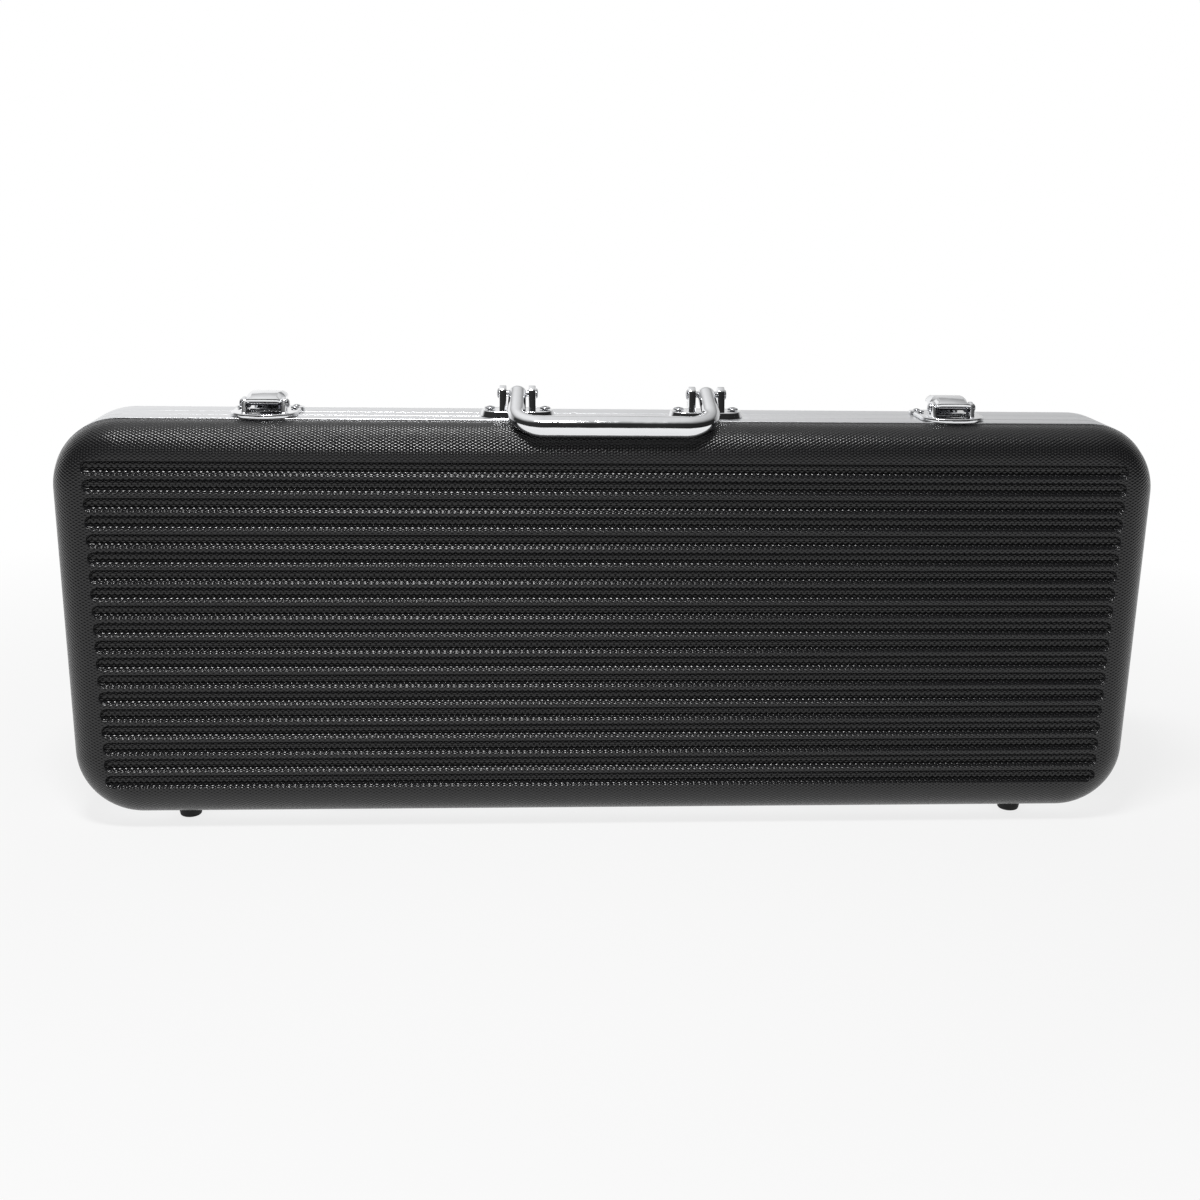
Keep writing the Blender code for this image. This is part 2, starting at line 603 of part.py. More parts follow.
def handle_bail(chrome, parent):
    """A bent bar whose arms turn on the bracket pins and whose grip is a little thicker and crowned."""
    pin = Vector((0.0, PARTING - HANDLE_PIN_FROM_PARTING, CASE_HEIGHT + HANDLE_PIN_HEIGHT))
    grip = grip_centre()
    outward = Vector((0.0, grip.x - pin.y, grip.y - pin.z)).normalized()
    across = Vector((1.0, 0.0, 0.0))
    upward = across.cross(outward)
    if upward.z < 0:
        upward.negate()
    straight = HANDLE_SPACING / 2 + BAIL_SPREAD - BAIL_BEND_RADIUS
    rings = []
    for x, reach, heading, size, blend in bail_stations():
        sideways = across * -sin(heading) + outward * cos(heading)
        flat = BAIL_ARM_FLATTENING * (1 - blend)
        radius = BAIL_ARM_RADIUS + (GRIP_RADIUS - BAIL_ARM_RADIUS) * blend
        crown = GRIP_CROWN * max(0.0, cos(x / straight * pi / 2)) * (blend == 1.0)
        centre = pin + across * x + outward * reach
        points = []
        for i in range(BAR_SIDES):
            turn = 2 * pi * (i + 0.5) / BAR_SIDES
            inner = radius + (crown if cos(turn) < 0 else 0.0)
            aside = sideways * -inner * size * cos(turn)
            lift = upward * (radius - flat) * size * sin(turn)
            points.append(centre + aside + lift)
        rings.append(points)
    bm = bmesh.new()
    loft(bm, rings)
    bail = piece("handle_bail", bm, chrome, parent, pin)
    bm = bmesh.new()
    for side in SIDES.values():
        x = side * HANDLE_SPACING / 2
        half = BRACKET_EAR_GAP / 2 + OVERRUN
        add_cylinder(bm, (x - half, pin.y, pin.z), (x + half, pin.y, pin.z),
                     HANDLE_PIN_RADIUS + RUNNING_CLEARANCE, PIN_SIDES)
    cut(bail, "bail_bores", bm)
    return bail


def latch_base(side_name, x, chrome, steel, parent):
    """An eared plate with a half-elliptical front rim and a window under the lever."""
    back_y = PARTING - LATCH_BACK_FROM_PARTING
    plate_z = CASE_HEIGHT + SEAT_GAP
    plate_top = plate_z + LATCH_PLATE
    half = LATCH_WIDTH / 2
    side_y = back_y - LATCH_SIDE_LENGTH
    outline = [(x + half, back_y), (x - half, back_y)]
    outline += arc((x, side_y), (half, LATCH_FRONT_REACH), pi, 2 * pi, 2 * EAR_STEPS)
    bm = bmesh.new()
    add_prism(bm, [(px, py, plate_z) for px, py in outline], (0.0, 0.0, LATCH_PLATE))
    base = piece("latch_base_" + side_name, bm, chrome, parent)
    pin_y = PARTING - LEVER_PIN_FROM_PARTING
    pin_z = CASE_HEIGHT + LEVER_PIN_HEIGHT
    bm = bmesh.new()
    add_ears(bm, x, pin_y, pin_z, plate_top - LATCH_PLATE / 2, LATCH_WINDOW_WIDTH, LATCH_EAR_THICKNESS,
             LATCH_EAR_RADIUS, LATCH_EAR_FOOT)
    cut(base, "latch_ears_" + side_name, bm, "UNION")
    window_y = PARTING - LATCH_WINDOW_FROM_PARTING
    window_x = LATCH_WINDOW_WIDTH / 2
    bm = bmesh.new()
    add_box(bm, (x - window_x, window_y - LATCH_WINDOW_LENGTH, plate_z - OVERRUN),
            (x + window_x, window_y, plate_top + OVERRUN))
    cut(base, "latch_window_" + side_name, bm)
    reach = LATCH_WINDOW_WIDTH / 2 + LATCH_EAR_THICKNESS
    bm = bmesh.new()
    add_cylinder(bm, (x - reach - OVERRUN, pin_y, pin_z), (x + reach + OVERRUN, pin_y, pin_z),
                 LEVER_PIN_RADIUS + RUNNING_CLEARANCE, PIN_SIDES)
    cut(base, "latch_bore_" + side_name, bm)
    bm = bmesh.new()
    flat_head_pin(bm, (x, pin_y, pin_z), reach + RUNNING_CLEARANCE, LEVER_PIN_RADIUS,
                  LEVER_PIN_HEAD_RADIUS, LEVER_PIN_HEAD_HEIGHT)
    piece("lever_pin_" + side_name, bm, steel, parent)
    head = dome_head(RIVET_RADIUS, RIVET_HEIGHT, RIVET_RADIUS / 2, LATCH_PLATE / 2)
    rivet_y = PARTING - LATCH_RIVET_FROM_PARTING
    bm = bmesh.new()
    for rivet_name, rivet_side in SIDES.items():
        rivet_x = x + rivet_side * LATCH_RIVET_SPACING / 2
        add_cylinder(bm, (rivet_x, rivet_y, plate_z - OVERRUN), (rivet_x, rivet_y, plate_top + OVERRUN),
                     RIVET_RADIUS / 2 + SEAT_GAP, PIN_SIDES)
        fastener(f"latch_rivet_{side_name}_{rivet_name}", head, (rivet_x, rivet_y, plate_top + SEAT_GAP),
                 UP, steel, parent)
    cut(base, "latch_rivet_holes_" + side_name, bm)


# Stations along the lever's cover, from its front edge to its back edge: share of the reach from the pin,
# share of the shoulder's extra width, share of the top's rise above the rim, share of the leg's depth
LEVER_STATION_SHARES = (
    ("front", 1.00, 0.20, 0.16, -1.10),
    ("front", 0.62, 0.20, 0.42, -0.60),
    ("front", 0.45, 0.00, 0.54, 1.00),
    ("back", 0.14, 0.00, 0.94, 1.00),
    ("back", 0.23, 0.20, 1.00, 0.35),
    ("back", 0.31, 1.00, 1.00, 0.35),
    ("back", 0.46, 1.00, 1.00, 0.35),
    ("back", 0.56, 1.00, 0.98, -0.75),
    ("back", 0.80, 0.90, 0.78, -0.85),
    ("back", 0.93, 0.30, 0.50, -0.95),
    ("back", 1.00, -0.90, 0.20, -1.05))

# Points across the lever's cover, from its rim over its flat top: share of the half width, share of the rise
COVER_SHARES = (
    (-1.00, 0.0), (-0.90, 0.55), (-0.76, 0.96), (0.0, 1.0), (0.76, 0.96), (0.90, 0.55), (1.00, 0.0))


def lever_section(x, y, half_width, rim_z, rise, leg_z):
    """The lever's section: a channel with a flat top and sloping shoulders, open below."""
    leg_z = min(leg_z, rim_z - LEVER_WALL - SEAT_GAP)
    points = []
    for half, drop, shares in (
            (half_width, 0.0, COVER_SHARES), (half_width - LEVER_WALL, LEVER_WALL, COVER_SHARES[::-1])):
        points.append((x + half * shares[0][0], y, leg_z))
        points += [(x + half * across, y, rim_z - drop + rise * up) for across, up in shares]
        points.append((x + half * shares[-1][0], y, leg_z))
    return points


def lever(side_name, x, chrome, steel, parent):
    """The latch's lever: a cover with two legs that turn on the pin, and the claw's pin through them."""
    pin = Vector((x, PARTING - LEVER_PIN_FROM_PARTING, CASE_HEIGHT + LEVER_PIN_HEIGHT))
    rim_z = CASE_HEIGHT + LEVER_TOP - LEVER_RISE
    leg_depth = LEVER_PIN_RADIUS + LEVER_WALL + RUNNING_CLEARANCE
    shoulder = (LEVER_SHOULDER_WIDTH - LEVER_WIDTH) / 2
    rings = []
    for end, reach_share, width_share, rise_share, leg_share in LEVER_STATION_SHARES:
        reach = -LEVER_FRONT_REACH if end == "front" else LEVER_BACK_REACH
        y = pin.y + reach * reach_share
        half_width = LEVER_WIDTH / 2 + shoulder * width_share
        leg_z = pin.z - leg_depth * leg_share
        rings.append(lever_section(x, y, half_width, rim_z, LEVER_RISE * rise_share, leg_z))
    bm = bmesh.new()
    loft(bm, rings)
    cover = piece("lever_" + side_name, bm, chrome, parent, pin)
    claw_pin = claw_pin_place(x)
    bm = bmesh.new()
    reach = LEVER_SHOULDER_WIDTH / 2 + OVERRUN
    add_cylinder(bm, pin - Vector((reach, 0.0, 0.0)), pin + Vector((reach, 0.0, 0.0)),
                 LEVER_PIN_RADIUS + RUNNING_CLEARANCE, PIN_SIDES)
    add_cylinder(bm, claw_pin - Vector((reach, 0.0, 0.0)), claw_pin + Vector((reach, 0.0, 0.0)),
                 CLAW_PIN_RADIUS + RUNNING_CLEARANCE, PIN_SIDES)
    cut(cover, "lever_bores_" + side_name, bm)
    half = LEVER_SHOULDER_WIDTH / 2
    bm = bmesh.new()
    add_cylinder(bm, claw_pin - Vector((half, 0.0, 0.0)), claw_pin + Vector((half, 0.0, 0.0)),
                 CLAW_PIN_RADIUS, PIN_SIDES)
    piece("claw_pin_" + side_name, bm, steel, parent, claw_pin)


def claw_pin_place(x):
    """The claw's axis, which the lever carries."""
    return Vector((x, PARTING - LEVER_PIN_FROM_PARTING + CLAW_PIN_REACH, CASE_HEIGHT + CLAW_PIN_HEIGHT))


def catch_rib_top():
    """How high the catch's rib stands above the frames."""
    return SEAT_GAP + CATCH_PLATE + CATCH_RIB_RADIUS


def claw(side_name, x, steel, parent):
    """A strap that turns in the lever and ends in a short hook over the catch's rib."""
    pin = claw_pin_place(x)
    half = CLAW_PLATE / 2
    hook = PARTING + CATCH_RIB_FROM_PARTING + CATCH_RIB_RADIUS + SEAT_GAP - pin.y
    reach = hook + CLAW_PLATE
    tip = CASE_HEIGHT + catch_rib_top() + SEAT_GAP - pin.z
    barrel = (CLAW_BARREL_RADIUS, CLAW_BARREL_RADIUS)
    outline = arc((0.0, 0.0), barrel, pi / 6, 2 * pi - pi / 6, 2 * EAR_STEPS)
    outline += [(hook, -half), (hook, tip), (reach, tip), (reach, half / 2), (reach - half / 2, half)]
    points = [(x - CLAW_WIDTH / 2, pin.y + y, pin.z + z) for y, z in outline]
    bm = bmesh.new()
    add_prism(bm, points, (CLAW_WIDTH, 0.0, 0.0))
    strap = piece("claw_" + side_name, bm, steel, parent, pin)
    bm = bmesh.new()
    bore_reach = Vector((CLAW_WIDTH / 2 + OVERRUN, 0.0, 0.0))
    add_cylinder(bm, pin - bore_reach, pin + bore_reach, CLAW_PIN_RADIUS + RUNNING_CLEARANCE, PIN_SIDES)
    cut(strap, "claw_bore_" + side_name, bm)


def catch(side_name, x, chrome, steel, parent):
    """The lid's part of a latch: a plate with a rounded rib that the claw hooks over, and two screws."""
    near_y = PARTING + CATCH_FROM_PARTING
    plate_z = CASE_HEIGHT + SEAT_GAP
    plate_top = plate_z + CATCH_PLATE
    end = CATCH_WIDTH / 2
    mid_y = near_y + end
    straight = CATCH_LENGTH / 2 - end
    outline = arc((x + straight, mid_y), (end, end), -pi / 2, pi / 2, EAR_STEPS)
    outline += arc((x - straight, mid_y), (end, end), pi / 2, 3 * pi / 2, EAR_STEPS)
    bm = bmesh.new()
    add_prism(bm, [(px, py, plate_z) for px, py in outline], (0.0, 0.0, CATCH_PLATE))
    plate = piece("catch_" + side_name, bm, chrome, parent)
    rib_y = PARTING + CATCH_RIB_FROM_PARTING
    points = [(x - CATCH_RIB_LENGTH / 2, rib_y + CATCH_RIB_RADIUS, plate_top - CATCH_PLATE / 2)]
    rib = arc((rib_y, plate_top), (CATCH_RIB_RADIUS, CATCH_RIB_RADIUS), 0.0, pi, EAR_STEPS)
    points += [(x - CATCH_RIB_LENGTH / 2, y, z) for y, z in rib]
    points.append((x - CATCH_RIB_LENGTH / 2, rib_y - CATCH_RIB_RADIUS, plate_top - CATCH_PLATE / 2))
    bm = bmesh.new()
    add_prism(bm, points, (CATCH_RIB_LENGTH, 0.0, 0.0))
    cut(plate, "catch_rib_" + side_name, bm, "UNION")
    head = dome_head(RIVET_RADIUS, RIVET_HEIGHT, RIVET_RADIUS / 2, CATCH_PLATE / 2)
    bm = bmesh.new()
    for screw_name, screw_side in SIDES.items():
        screw_x = x + screw_side * CATCH_SCREW_SPACING / 2
        add_cylinder(bm, (screw_x, mid_y, plate_z - OVERRUN), (screw_x, mid_y, plate_top + OVERRUN),
                     RIVET_RADIUS / 2 + SEAT_GAP, PIN_SIDES)
        fastener(f"catch_screw_{side_name}_{screw_name}", head, (screw_x, mid_y, plate_top + SEAT_GAP),
                 UP, steel, parent)
    cut(plate, "catch_screw_holes_" + side_name, bm)


def hinge_leaf(half_name, side_name, x, half, steel, parent):
    """One leaf of a hinge under the frames: a plate whose knuckles share the pin with the other leaf's."""
    name = f"hinge_{half_name}_leaf_{side_name}"
    axis_z = -SEAT_GAP - HINGE_KNUCKLE_RADIUS
    plate_top = -SEAT_GAP
    plate_low = plate_top - HINGE_LEAF_THICKNESS
    start = HINGE_KNUCKLE_RADIUS + 2 * SEAT_GAP
    low_y, high_y = sorted((PARTING + half * start, PARTING + half * HINGE_LEAF_REACH))
    bm = bmesh.new()
    add_box(bm, (x - HINGE_LENGTH / 2, low_y, plate_low), (x + HINGE_LENGTH / 2, high_y, plate_top))
    leaf = piece(name, bm, steel, parent)
    pitch = HINGE_LENGTH / HINGE_KNUCKLE_COUNT
    tabs = bmesh.new()
    knuckles = bmesh.new()
    for i in range(HINGE_KNUCKLE_COUNT):
        if (i % 2 == 0) != (half == BASE):
            continue
        low_x = x - HINGE_LENGTH / 2 + i * pitch + SEAT_GAP / 2
        high_x = low_x + pitch - SEAT_GAP
        tab = sorted((PARTING, PARTING + half * (start + HINGE_LEAF_THICKNESS)))
        add_box(tabs, (low_x, tab[0], plate_low), (high_x, tab[1], plate_top))
        add_cylinder(knuckles, (low_x, PARTING, axis_z), (high_x, PARTING, axis_z),
                     HINGE_KNUCKLE_RADIUS, PIN_SIDES)
    cut(leaf, name + "_tabs", tabs, "UNION")
    cut(leaf, name + "_knuckles", knuckles, "UNION")
    bm = bmesh.new()
    add_cylinder(bm, (x - HINGE_LENGTH, PARTING, axis_z), (x + HINGE_LENGTH, PARTING, axis_z),
                 HINGE_PIN_RADIUS + RUNNING_CLEARANCE, PIN_SIDES)
    rivet_y = PARTING + half * (start + HINGE_LEAF_REACH) / 2
    head = dome_head(RIVET_RADIUS, RIVET_HEIGHT, RIVET_RADIUS / 2, HINGE_LEAF_THICKNESS / 2)
    for rivet_name, rivet_side in SIDES.items():
        rivet_x = x + rivet_side * HINGE_RIVET_SPACING / 2
        add_cylinder(bm, (rivet_x, rivet_y, plate_low - OVERRUN), (rivet_x, rivet_y, plate_top + OVERRUN),
                     RIVET_RADIUS / 2 + SEAT_GAP, PIN_SIDES)
        fastener(f"hinge_{half_name}_rivet_{side_name}_{rivet_name}", head,
                 (rivet_x, rivet_y, plate_low - SEAT_GAP), DOWN, steel, parent)
    cut(leaf, name + "_bores", bm)


def hinge_pin(side_name, x, steel, parent):
    """The pin through a hinge's knuckles."""
    axis_z = -SEAT_GAP - HINGE_KNUCKLE_RADIUS
    bm = bmesh.new()
    add_cylinder(bm, (x - HINGE_LENGTH / 2, PARTING, axis_z), (x + HINGE_LENGTH / 2, PARTING, axis_z),
                 HINGE_PIN_RADIUS, PIN_SIDES)
    piece("hinge_pin_" + side_name, bm, steel, parent)


def foot(half_name, side_name, x, y, rubber, steel, parent):
    """A round rubber foot, with a screw sunk in its underside."""
    top = -SEAT_GAP
    low = -FOOT_HEIGHT
    well_top = low + FOOT_WELL_DEPTH
    inner = FOOT_RADIUS - FOOT_TAPER
    bore = FOOT_SCREW_RADIUS + SEAT_GAP
    profile = [
        (low, FOOT_WELL_RADIUS), (low, inner - FOOT_TAPER), (low + FOOT_TAPER, inner), (top, FOOT_RADIUS),
        (top, bore), (well_top, bore), (well_top, FOOT_WELL_RADIUS)]
    bm = bmesh.new()
    rings = []
    for z, radius in profile:
        rings.append([(px, py, z) for px, py in arc((x, y), (radius, radius), 0.0, 2 * pi, FOOT_SIDES)[:-1]])
    loft(bm, rings, closed=True)
    piece(f"{half_name}_foot_{side_name}", bm, rubber, parent)
    head_top = well_top - SEAT_GAP
    head_low = head_top - FOOT_SCREW_HEAD_HEIGHT
    screw = [
        (head_low, 0.0), (head_low, FOOT_SCREW_HEAD_RADIUS * SHOULDER_SHARE),
        (head_low + FOOT_SCREW_HEAD_HEIGHT / 2, FOOT_SCREW_HEAD_RADIUS), (head_top, FOOT_SCREW_HEAD_RADIUS),
        (head_top, FOOT_SCREW_RADIUS), (top, FOOT_SCREW_RADIUS), (top, 0.0)]
    fastener(f"{half_name}_foot_screw_{side_name}", screw, (x, y, 0.0), UP, steel, parent)


def build():
    """Make every piece, then stand the case on its feet with its middle over the origin."""
    clear_scene()
    case = new_empty("case_origin")
    plastic = finish("black_abs", (0.012, 0.012, 0.014), 0.42, 0.0)
    aluminium = finish("satin_aluminium", (0.80, 0.81, 0.82), 0.34, 1.0)
    chrome = finish("chrome_plate", (0.86, 0.87, 0.89), 0.12, 1.0)
    steel = finish("plated_steel", (0.66, 0.66, 0.68), 0.25, 1.0)
    rubber = finish("black_rubber", (0.010, 0.010, 0.010), 0.80, 0.0)
    flock = finish("flocked_tray", (0.014, 0.014, 0.016), 0.95, 0.0)
    foam = finish("velvet_pad", (0.016, 0.016, 0.018), 1.0, 0.0)

    shell("base_shell", BASE, plastic, case)
    shell("lid_shell", LID, plastic, case)
    frame("base_frame", BASE, aluminium, case)
    frame("lid_frame", LID, aluminium, case)

    for side_name, side in SIDES.items():
        chip_tray(side_name, side, flock, case)
    accessory_tray(flock, case)
    lid_pad(foam, case)

    handle_mounts(chrome, steel, case)
    handle_bail(chrome, case)

    for side_name, side in SIDES.items():
        x = side * (HALF_WIDTH - LATCH_FROM_END)
        latch_base(side_name, x, chrome, steel, case)
        lever(side_name, x, chrome, steel, case)
        claw(side_name, x, steel, case)
        catch(side_name, x, chrome, steel, case)

        x = side * (HALF_WIDTH - HINGE_FROM_END)
        hinge_leaf("base", side_name, x, BASE, steel, case)
        hinge_leaf("lid", side_name, x, LID, steel, case)
        hinge_pin(side_name, x, steel, case)

        x = side * (HALF_WIDTH - FOOT_FROM_END)
        foot("base", side_name, x, PARTING - BASE_FOOT_FROM_PARTING, rubber, steel, case)
        foot("lid", side_name, x, PARTING + LID_FOOT_FROM_PARTING, rubber, steel, case)

    # The bail's grip reaches further forward than the lid's face reaches back
    grip_front = grip_centre().x - GRIP_RADIUS * cos(pi / BAR_SIDES)
    case.location = (0.0, -(grip_front + SHELL_FACE) / 2, FOOT_HEIGHT)


build()
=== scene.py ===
# %% [markdown]
# # A poker chip case
# The real object is a long hard case for five hundred chips: two moulded black shells in bent aluminium
# frames, with a chromed swing handle and two toggle latches on top. A solid model of every part exists and
# carries the joints. Here each part gets its finished shape and surface, and then the case is lit and
# photographed. Everything is in metres, in the solid model's own place.

# %% Load the solid model
from math import acos, asin, atan2, cos, hypot, pi, radians, sin, sqrt

import bmesh
import bpy
from mathutils import Matrix, Vector


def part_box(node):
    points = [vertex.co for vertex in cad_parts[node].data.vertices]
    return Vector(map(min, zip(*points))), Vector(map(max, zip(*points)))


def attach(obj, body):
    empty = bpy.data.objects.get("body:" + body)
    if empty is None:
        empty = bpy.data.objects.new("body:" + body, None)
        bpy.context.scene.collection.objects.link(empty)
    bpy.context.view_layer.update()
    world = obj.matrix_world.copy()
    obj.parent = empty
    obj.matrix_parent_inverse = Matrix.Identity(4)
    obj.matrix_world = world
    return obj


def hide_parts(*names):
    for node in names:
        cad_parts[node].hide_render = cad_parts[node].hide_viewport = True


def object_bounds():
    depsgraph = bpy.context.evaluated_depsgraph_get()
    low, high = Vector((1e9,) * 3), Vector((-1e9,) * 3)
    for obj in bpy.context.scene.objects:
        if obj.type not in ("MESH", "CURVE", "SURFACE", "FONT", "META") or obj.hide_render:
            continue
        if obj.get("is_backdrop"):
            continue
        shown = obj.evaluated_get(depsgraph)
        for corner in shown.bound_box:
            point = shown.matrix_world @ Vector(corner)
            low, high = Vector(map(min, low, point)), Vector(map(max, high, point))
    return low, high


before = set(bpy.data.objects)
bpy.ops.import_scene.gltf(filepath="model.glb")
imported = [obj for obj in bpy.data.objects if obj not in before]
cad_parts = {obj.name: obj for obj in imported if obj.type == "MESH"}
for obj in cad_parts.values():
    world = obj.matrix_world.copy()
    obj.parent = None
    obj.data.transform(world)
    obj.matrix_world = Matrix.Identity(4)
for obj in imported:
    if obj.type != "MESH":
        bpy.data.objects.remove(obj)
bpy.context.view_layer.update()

# %% [markdown]
# ## Where the drawing stands
# A case maker draws from the middle of the frames: x along the case, y from the front (negative) to the
# lid, z up from the underside of the shells. The solid model stands elsewhere, on its feet, and the base
# frame's lowest corner says where. So every piece is drawn with the maker's numbers and moved at the end.

# %% The drawing's origin
CASE_WIDTH = 0.560
CASE_HEIGHT = 0.210
CORNER_RADIUS = 0.035
FRAME_DEPTH = 0.0368
PARTING = 0.0040
GAP = 0.0003
BASE = -1
LID = 1
HALVES = {"base": BASE, "lid": LID}
SIDES = {"left": -1, "right": 1}

frame_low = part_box("base_frame")[0]
ORIGIN = Vector((0.0, frame_low.y + FRAME_DEPTH / 2, frame_low.z))
print("the drawing's origin, in mm:", [round(c * 1000, 2) for c in ORIGIN])

# %% [markdown]
# ## The camera
# The photographer stood the camera three quarters of a metre away and a little above the case, looking
# down by sixteen degrees and a touch to the right. These numbers were fitted to the case's corners, frame
# lines, latches and feet in the photograph. A small roll of under one degree is part of that fit.

# %% Place the camera
CAMERA_PLACE = Vector((-0.0492, -0.7727, 0.3330)) + ORIGIN
CAMERA_DOWN = radians(16.04)
CAMERA_TURN = radians(3.33)
CAMERA_ROLL = radians(0.91)
SENSOR = 36.0
FOCAL_PIXELS = 1508.3
PHOTO_PIXELS = 1200

level_ahead = Vector((sin(CAMERA_TURN), cos(CAMERA_TURN), 0.0))
ahead = level_ahead * cos(CAMERA_DOWN) - Vector((0.0, 0.0, sin(CAMERA_DOWN)))
level = Vector((cos(CAMERA_TURN), -sin(CAMERA_TURN), 0.0))
above = level.cross(ahead)
right = cos(CAMERA_ROLL) * level + sin(CAMERA_ROLL) * above
up = cos(CAMERA_ROLL) * above - sin(CAMERA_ROLL) * level
facing = Matrix((right, up, -ahead)).transposed().to_4x4()

camera_data = bpy.data.cameras.new("camera")
camera_data.sensor_width = SENSOR
camera_data.lens = FOCAL_PIXELS / PHOTO_PIXELS * SENSOR
camera_data.clip_start = 0.01
camera_data.clip_end = 50.0
camera = bpy.data.objects.new("camera", camera_data)
bpy.context.collection.objects.link(camera)
camera.matrix_world = Matrix.Translation(CAMERA_PLACE) @ facing
bpy.context.scene.camera = camera
print("lens:", round(camera_data.lens, 2), "mm")

# %% [markdown]
# ## Tools for making pieces
# A few small tools come back in every piece. One puts a finished mesh in the scene, smooth except across
# real corners, on the moving part that carries it. Others turn a profile on a lathe, cut or extrude. One
# rounds edges, because no moulded, cast or plated edge is truly sharp, and a round one catches the light.

# %% Put a piece in the scene
MERGE = 0.000002


def add_piece(name, bm, body, finish, replaces=(), crease=35):
    """Turn a bmesh, drawn in the maker's numbers, into a piece that rides on a body."""
    bmesh.ops.remove_doubles(bm, verts=bm.verts, dist=MERGE)
    bmesh.ops.recalc_face_normals(bm, faces=bm.faces)
    bmesh.ops.translate(bm, verts=bm.verts, vec=ORIGIN)
    mesh = bpy.data.meshes.new(name)
    bm.to_mesh(mesh)
    bm.free()
    mesh.materials.append(finish)
    mesh.shade_smooth()
    mesh.set_sharp_from_angle(angle=radians(crease))
    thing = bpy.data.objects.new(name, mesh)
    bpy.context.collection.objects.link(thing)
    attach(thing, body)
    if replaces:
        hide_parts(*replaces)
    print(f"{name}: {len(mesh.polygons)} faces")
    return thing


def dress(node, ending, bm, body, finish, crease=35):
    """Put in a piece that takes the place of one solid part."""
    return add_piece(f"{node}_{ending}", bm, body, finish, [node], crease)


# %% Draw and turn a profile
X_AXIS = (1, 0, 0)
Y_AXIS = (0, 1, 0)
Z_AXIS = (0, 0, 1)


def quarter(steps):
    """The angles of a quarter turn."""
    return [i * pi / 2 / steps for i in range(steps + 1)]


def round_corner(inset, y, size, towards, steps):
    """Profile points of a quarter round, from the face at y to the wall at the inset."""
    return [(inset + size * (1 - sin(turn)), y + towards * size * (1 - cos(turn))) for turn in quarter(steps)]


def add_turned(bm, profile, centre, axis, steps=32):
    """Spin a profile of (along, radius) points round an axis."""
    axis = Vector(axis)
    side = axis.orthogonal().normalized()
    verts = [bm.verts.new(Vector(centre) + axis * along + side * radius) for along, radius in profile]
    edges = [bm.edges.new(pair) for pair in zip(verts, verts[1:])]
    bmesh.ops.spin(bm, geom=verts + edges, cent=centre, axis=axis, angle=2 * pi, steps=steps, use_merge=True)
    bmesh.ops.remove_doubles(bm, verts=bm.verts, dist=MERGE)


# %% Round, cut and extrude
def round_edges(bm, edges, size, segments=3):
    """Bevel edges to a round of the given size."""
    bmesh.ops.bevel(bm, geom=edges, offset=size, offset_type="OFFSET", segments=segments, profile=0.5,
                    affect="EDGES", material=-1, clamp_overlap=True)


def sharp_edges(bm, limit=40):
    """The edges where two faces meet at more than a limit."""
    return [edge for edge in bm.edges
            if len(edge.link_faces) == 2 and edge.calc_face_angle(0.0) > radians(limit)]


def top_rim(bm, height):
    """The sharp edges that lie at the top."""
    return [edge for edge in sharp_edges(bm, 60) if all(vert.co.z > height - MERGE for vert in edge.verts)]


def cut(bm, planes, part=None, **options):
    """Cut a bmesh, or a part of it, along planes given as (axis, distance), and return the part."""
    for axis, distance in planes:
        normal = Vector(axis)
        geom = part or bm.verts[:] + bm.edges[:] + bm.faces[:]
        done = bmesh.ops.bisect_plane(bm, geom=geom, dist=MERGE, plane_co=normal * distance, plane_no=normal,
                                      **options)
        part = part and done["geom"]
    return part


def with_edges(faces):
    """Faces together with their edges and vertices."""
    return list({part for face in faces for part in (face, *face.verts, *face.edges)})


def verts_of(items):
    """The vertices among what an operator returns."""
    return [item for item in items if isinstance(item, bmesh.types.BMVert)]


def extrude_edges(bm, edges):
    """Extrude edges in place, and return the new vertices and the new edges that join them."""
    grown = bmesh.ops.extrude_edge_only(bm, edges=edges)["geom"]
    verts = verts_of(grown)
    held = set(verts)
    return verts, [item for item in grown if isinstance(item, bmesh.types.BMEdge)
                   and item.verts[0] in held and item.verts[1] in held]


def extrude_faces(bm, faces, run, hollow=False):
    """Extrude faces along a run and return the new vertices. A hollow keeps nothing where it began."""
    grown = bmesh.ops.extrude_face_region(bm, geom=faces, use_keep_orig=not hollow)
    if hollow:
        bmesh.ops.delete(bm, geom=[face for face in faces if face.is_valid], context="FACES_ONLY")
    verts = verts_of(grown["geom"])
    bmesh.ops.translate(bm, verts=verts, vec=run)
    return verts


def face_out(bm, axis):
    """Point the faces of an open sheet along an axis (1 is y, 2 is z), where it reaches furthest."""
    bmesh.ops.remove_doubles(bm, verts=bm.verts, dist=MERGE)
    bmesh.ops.recalc_face_normals(bm, faces=bm.faces)
    if max(bm.faces, key=lambda face: face.calc_center_median()[axis]).normal[axis] < 0:
        bmesh.ops.reverse_faces(bm, faces=bm.faces)


# %% [markdown]
# ## Tools for finishes
# Colours are given as screen values, such as #1A1A1C, and Blender calculates with light, so one
# function turns the first into the second. Another adds a node: its options go in by name, and each input
# gets a value or a link. Every finish below is a short list of such nodes round Blender's one surface
# shader, whose values start from what is typical for the real material.

# %% Colours and nodes
def colour(code):
    """Linear colour of an sRGB hex value."""
    parts = [int(code[i:i + 2], 16) / 255 for i in (1, 3, 5)]
    return (*[c / 12.92 if c <= 0.04045 else ((c + 0.055) / 1.055) ** 2.4 for c in parts], 1.0)


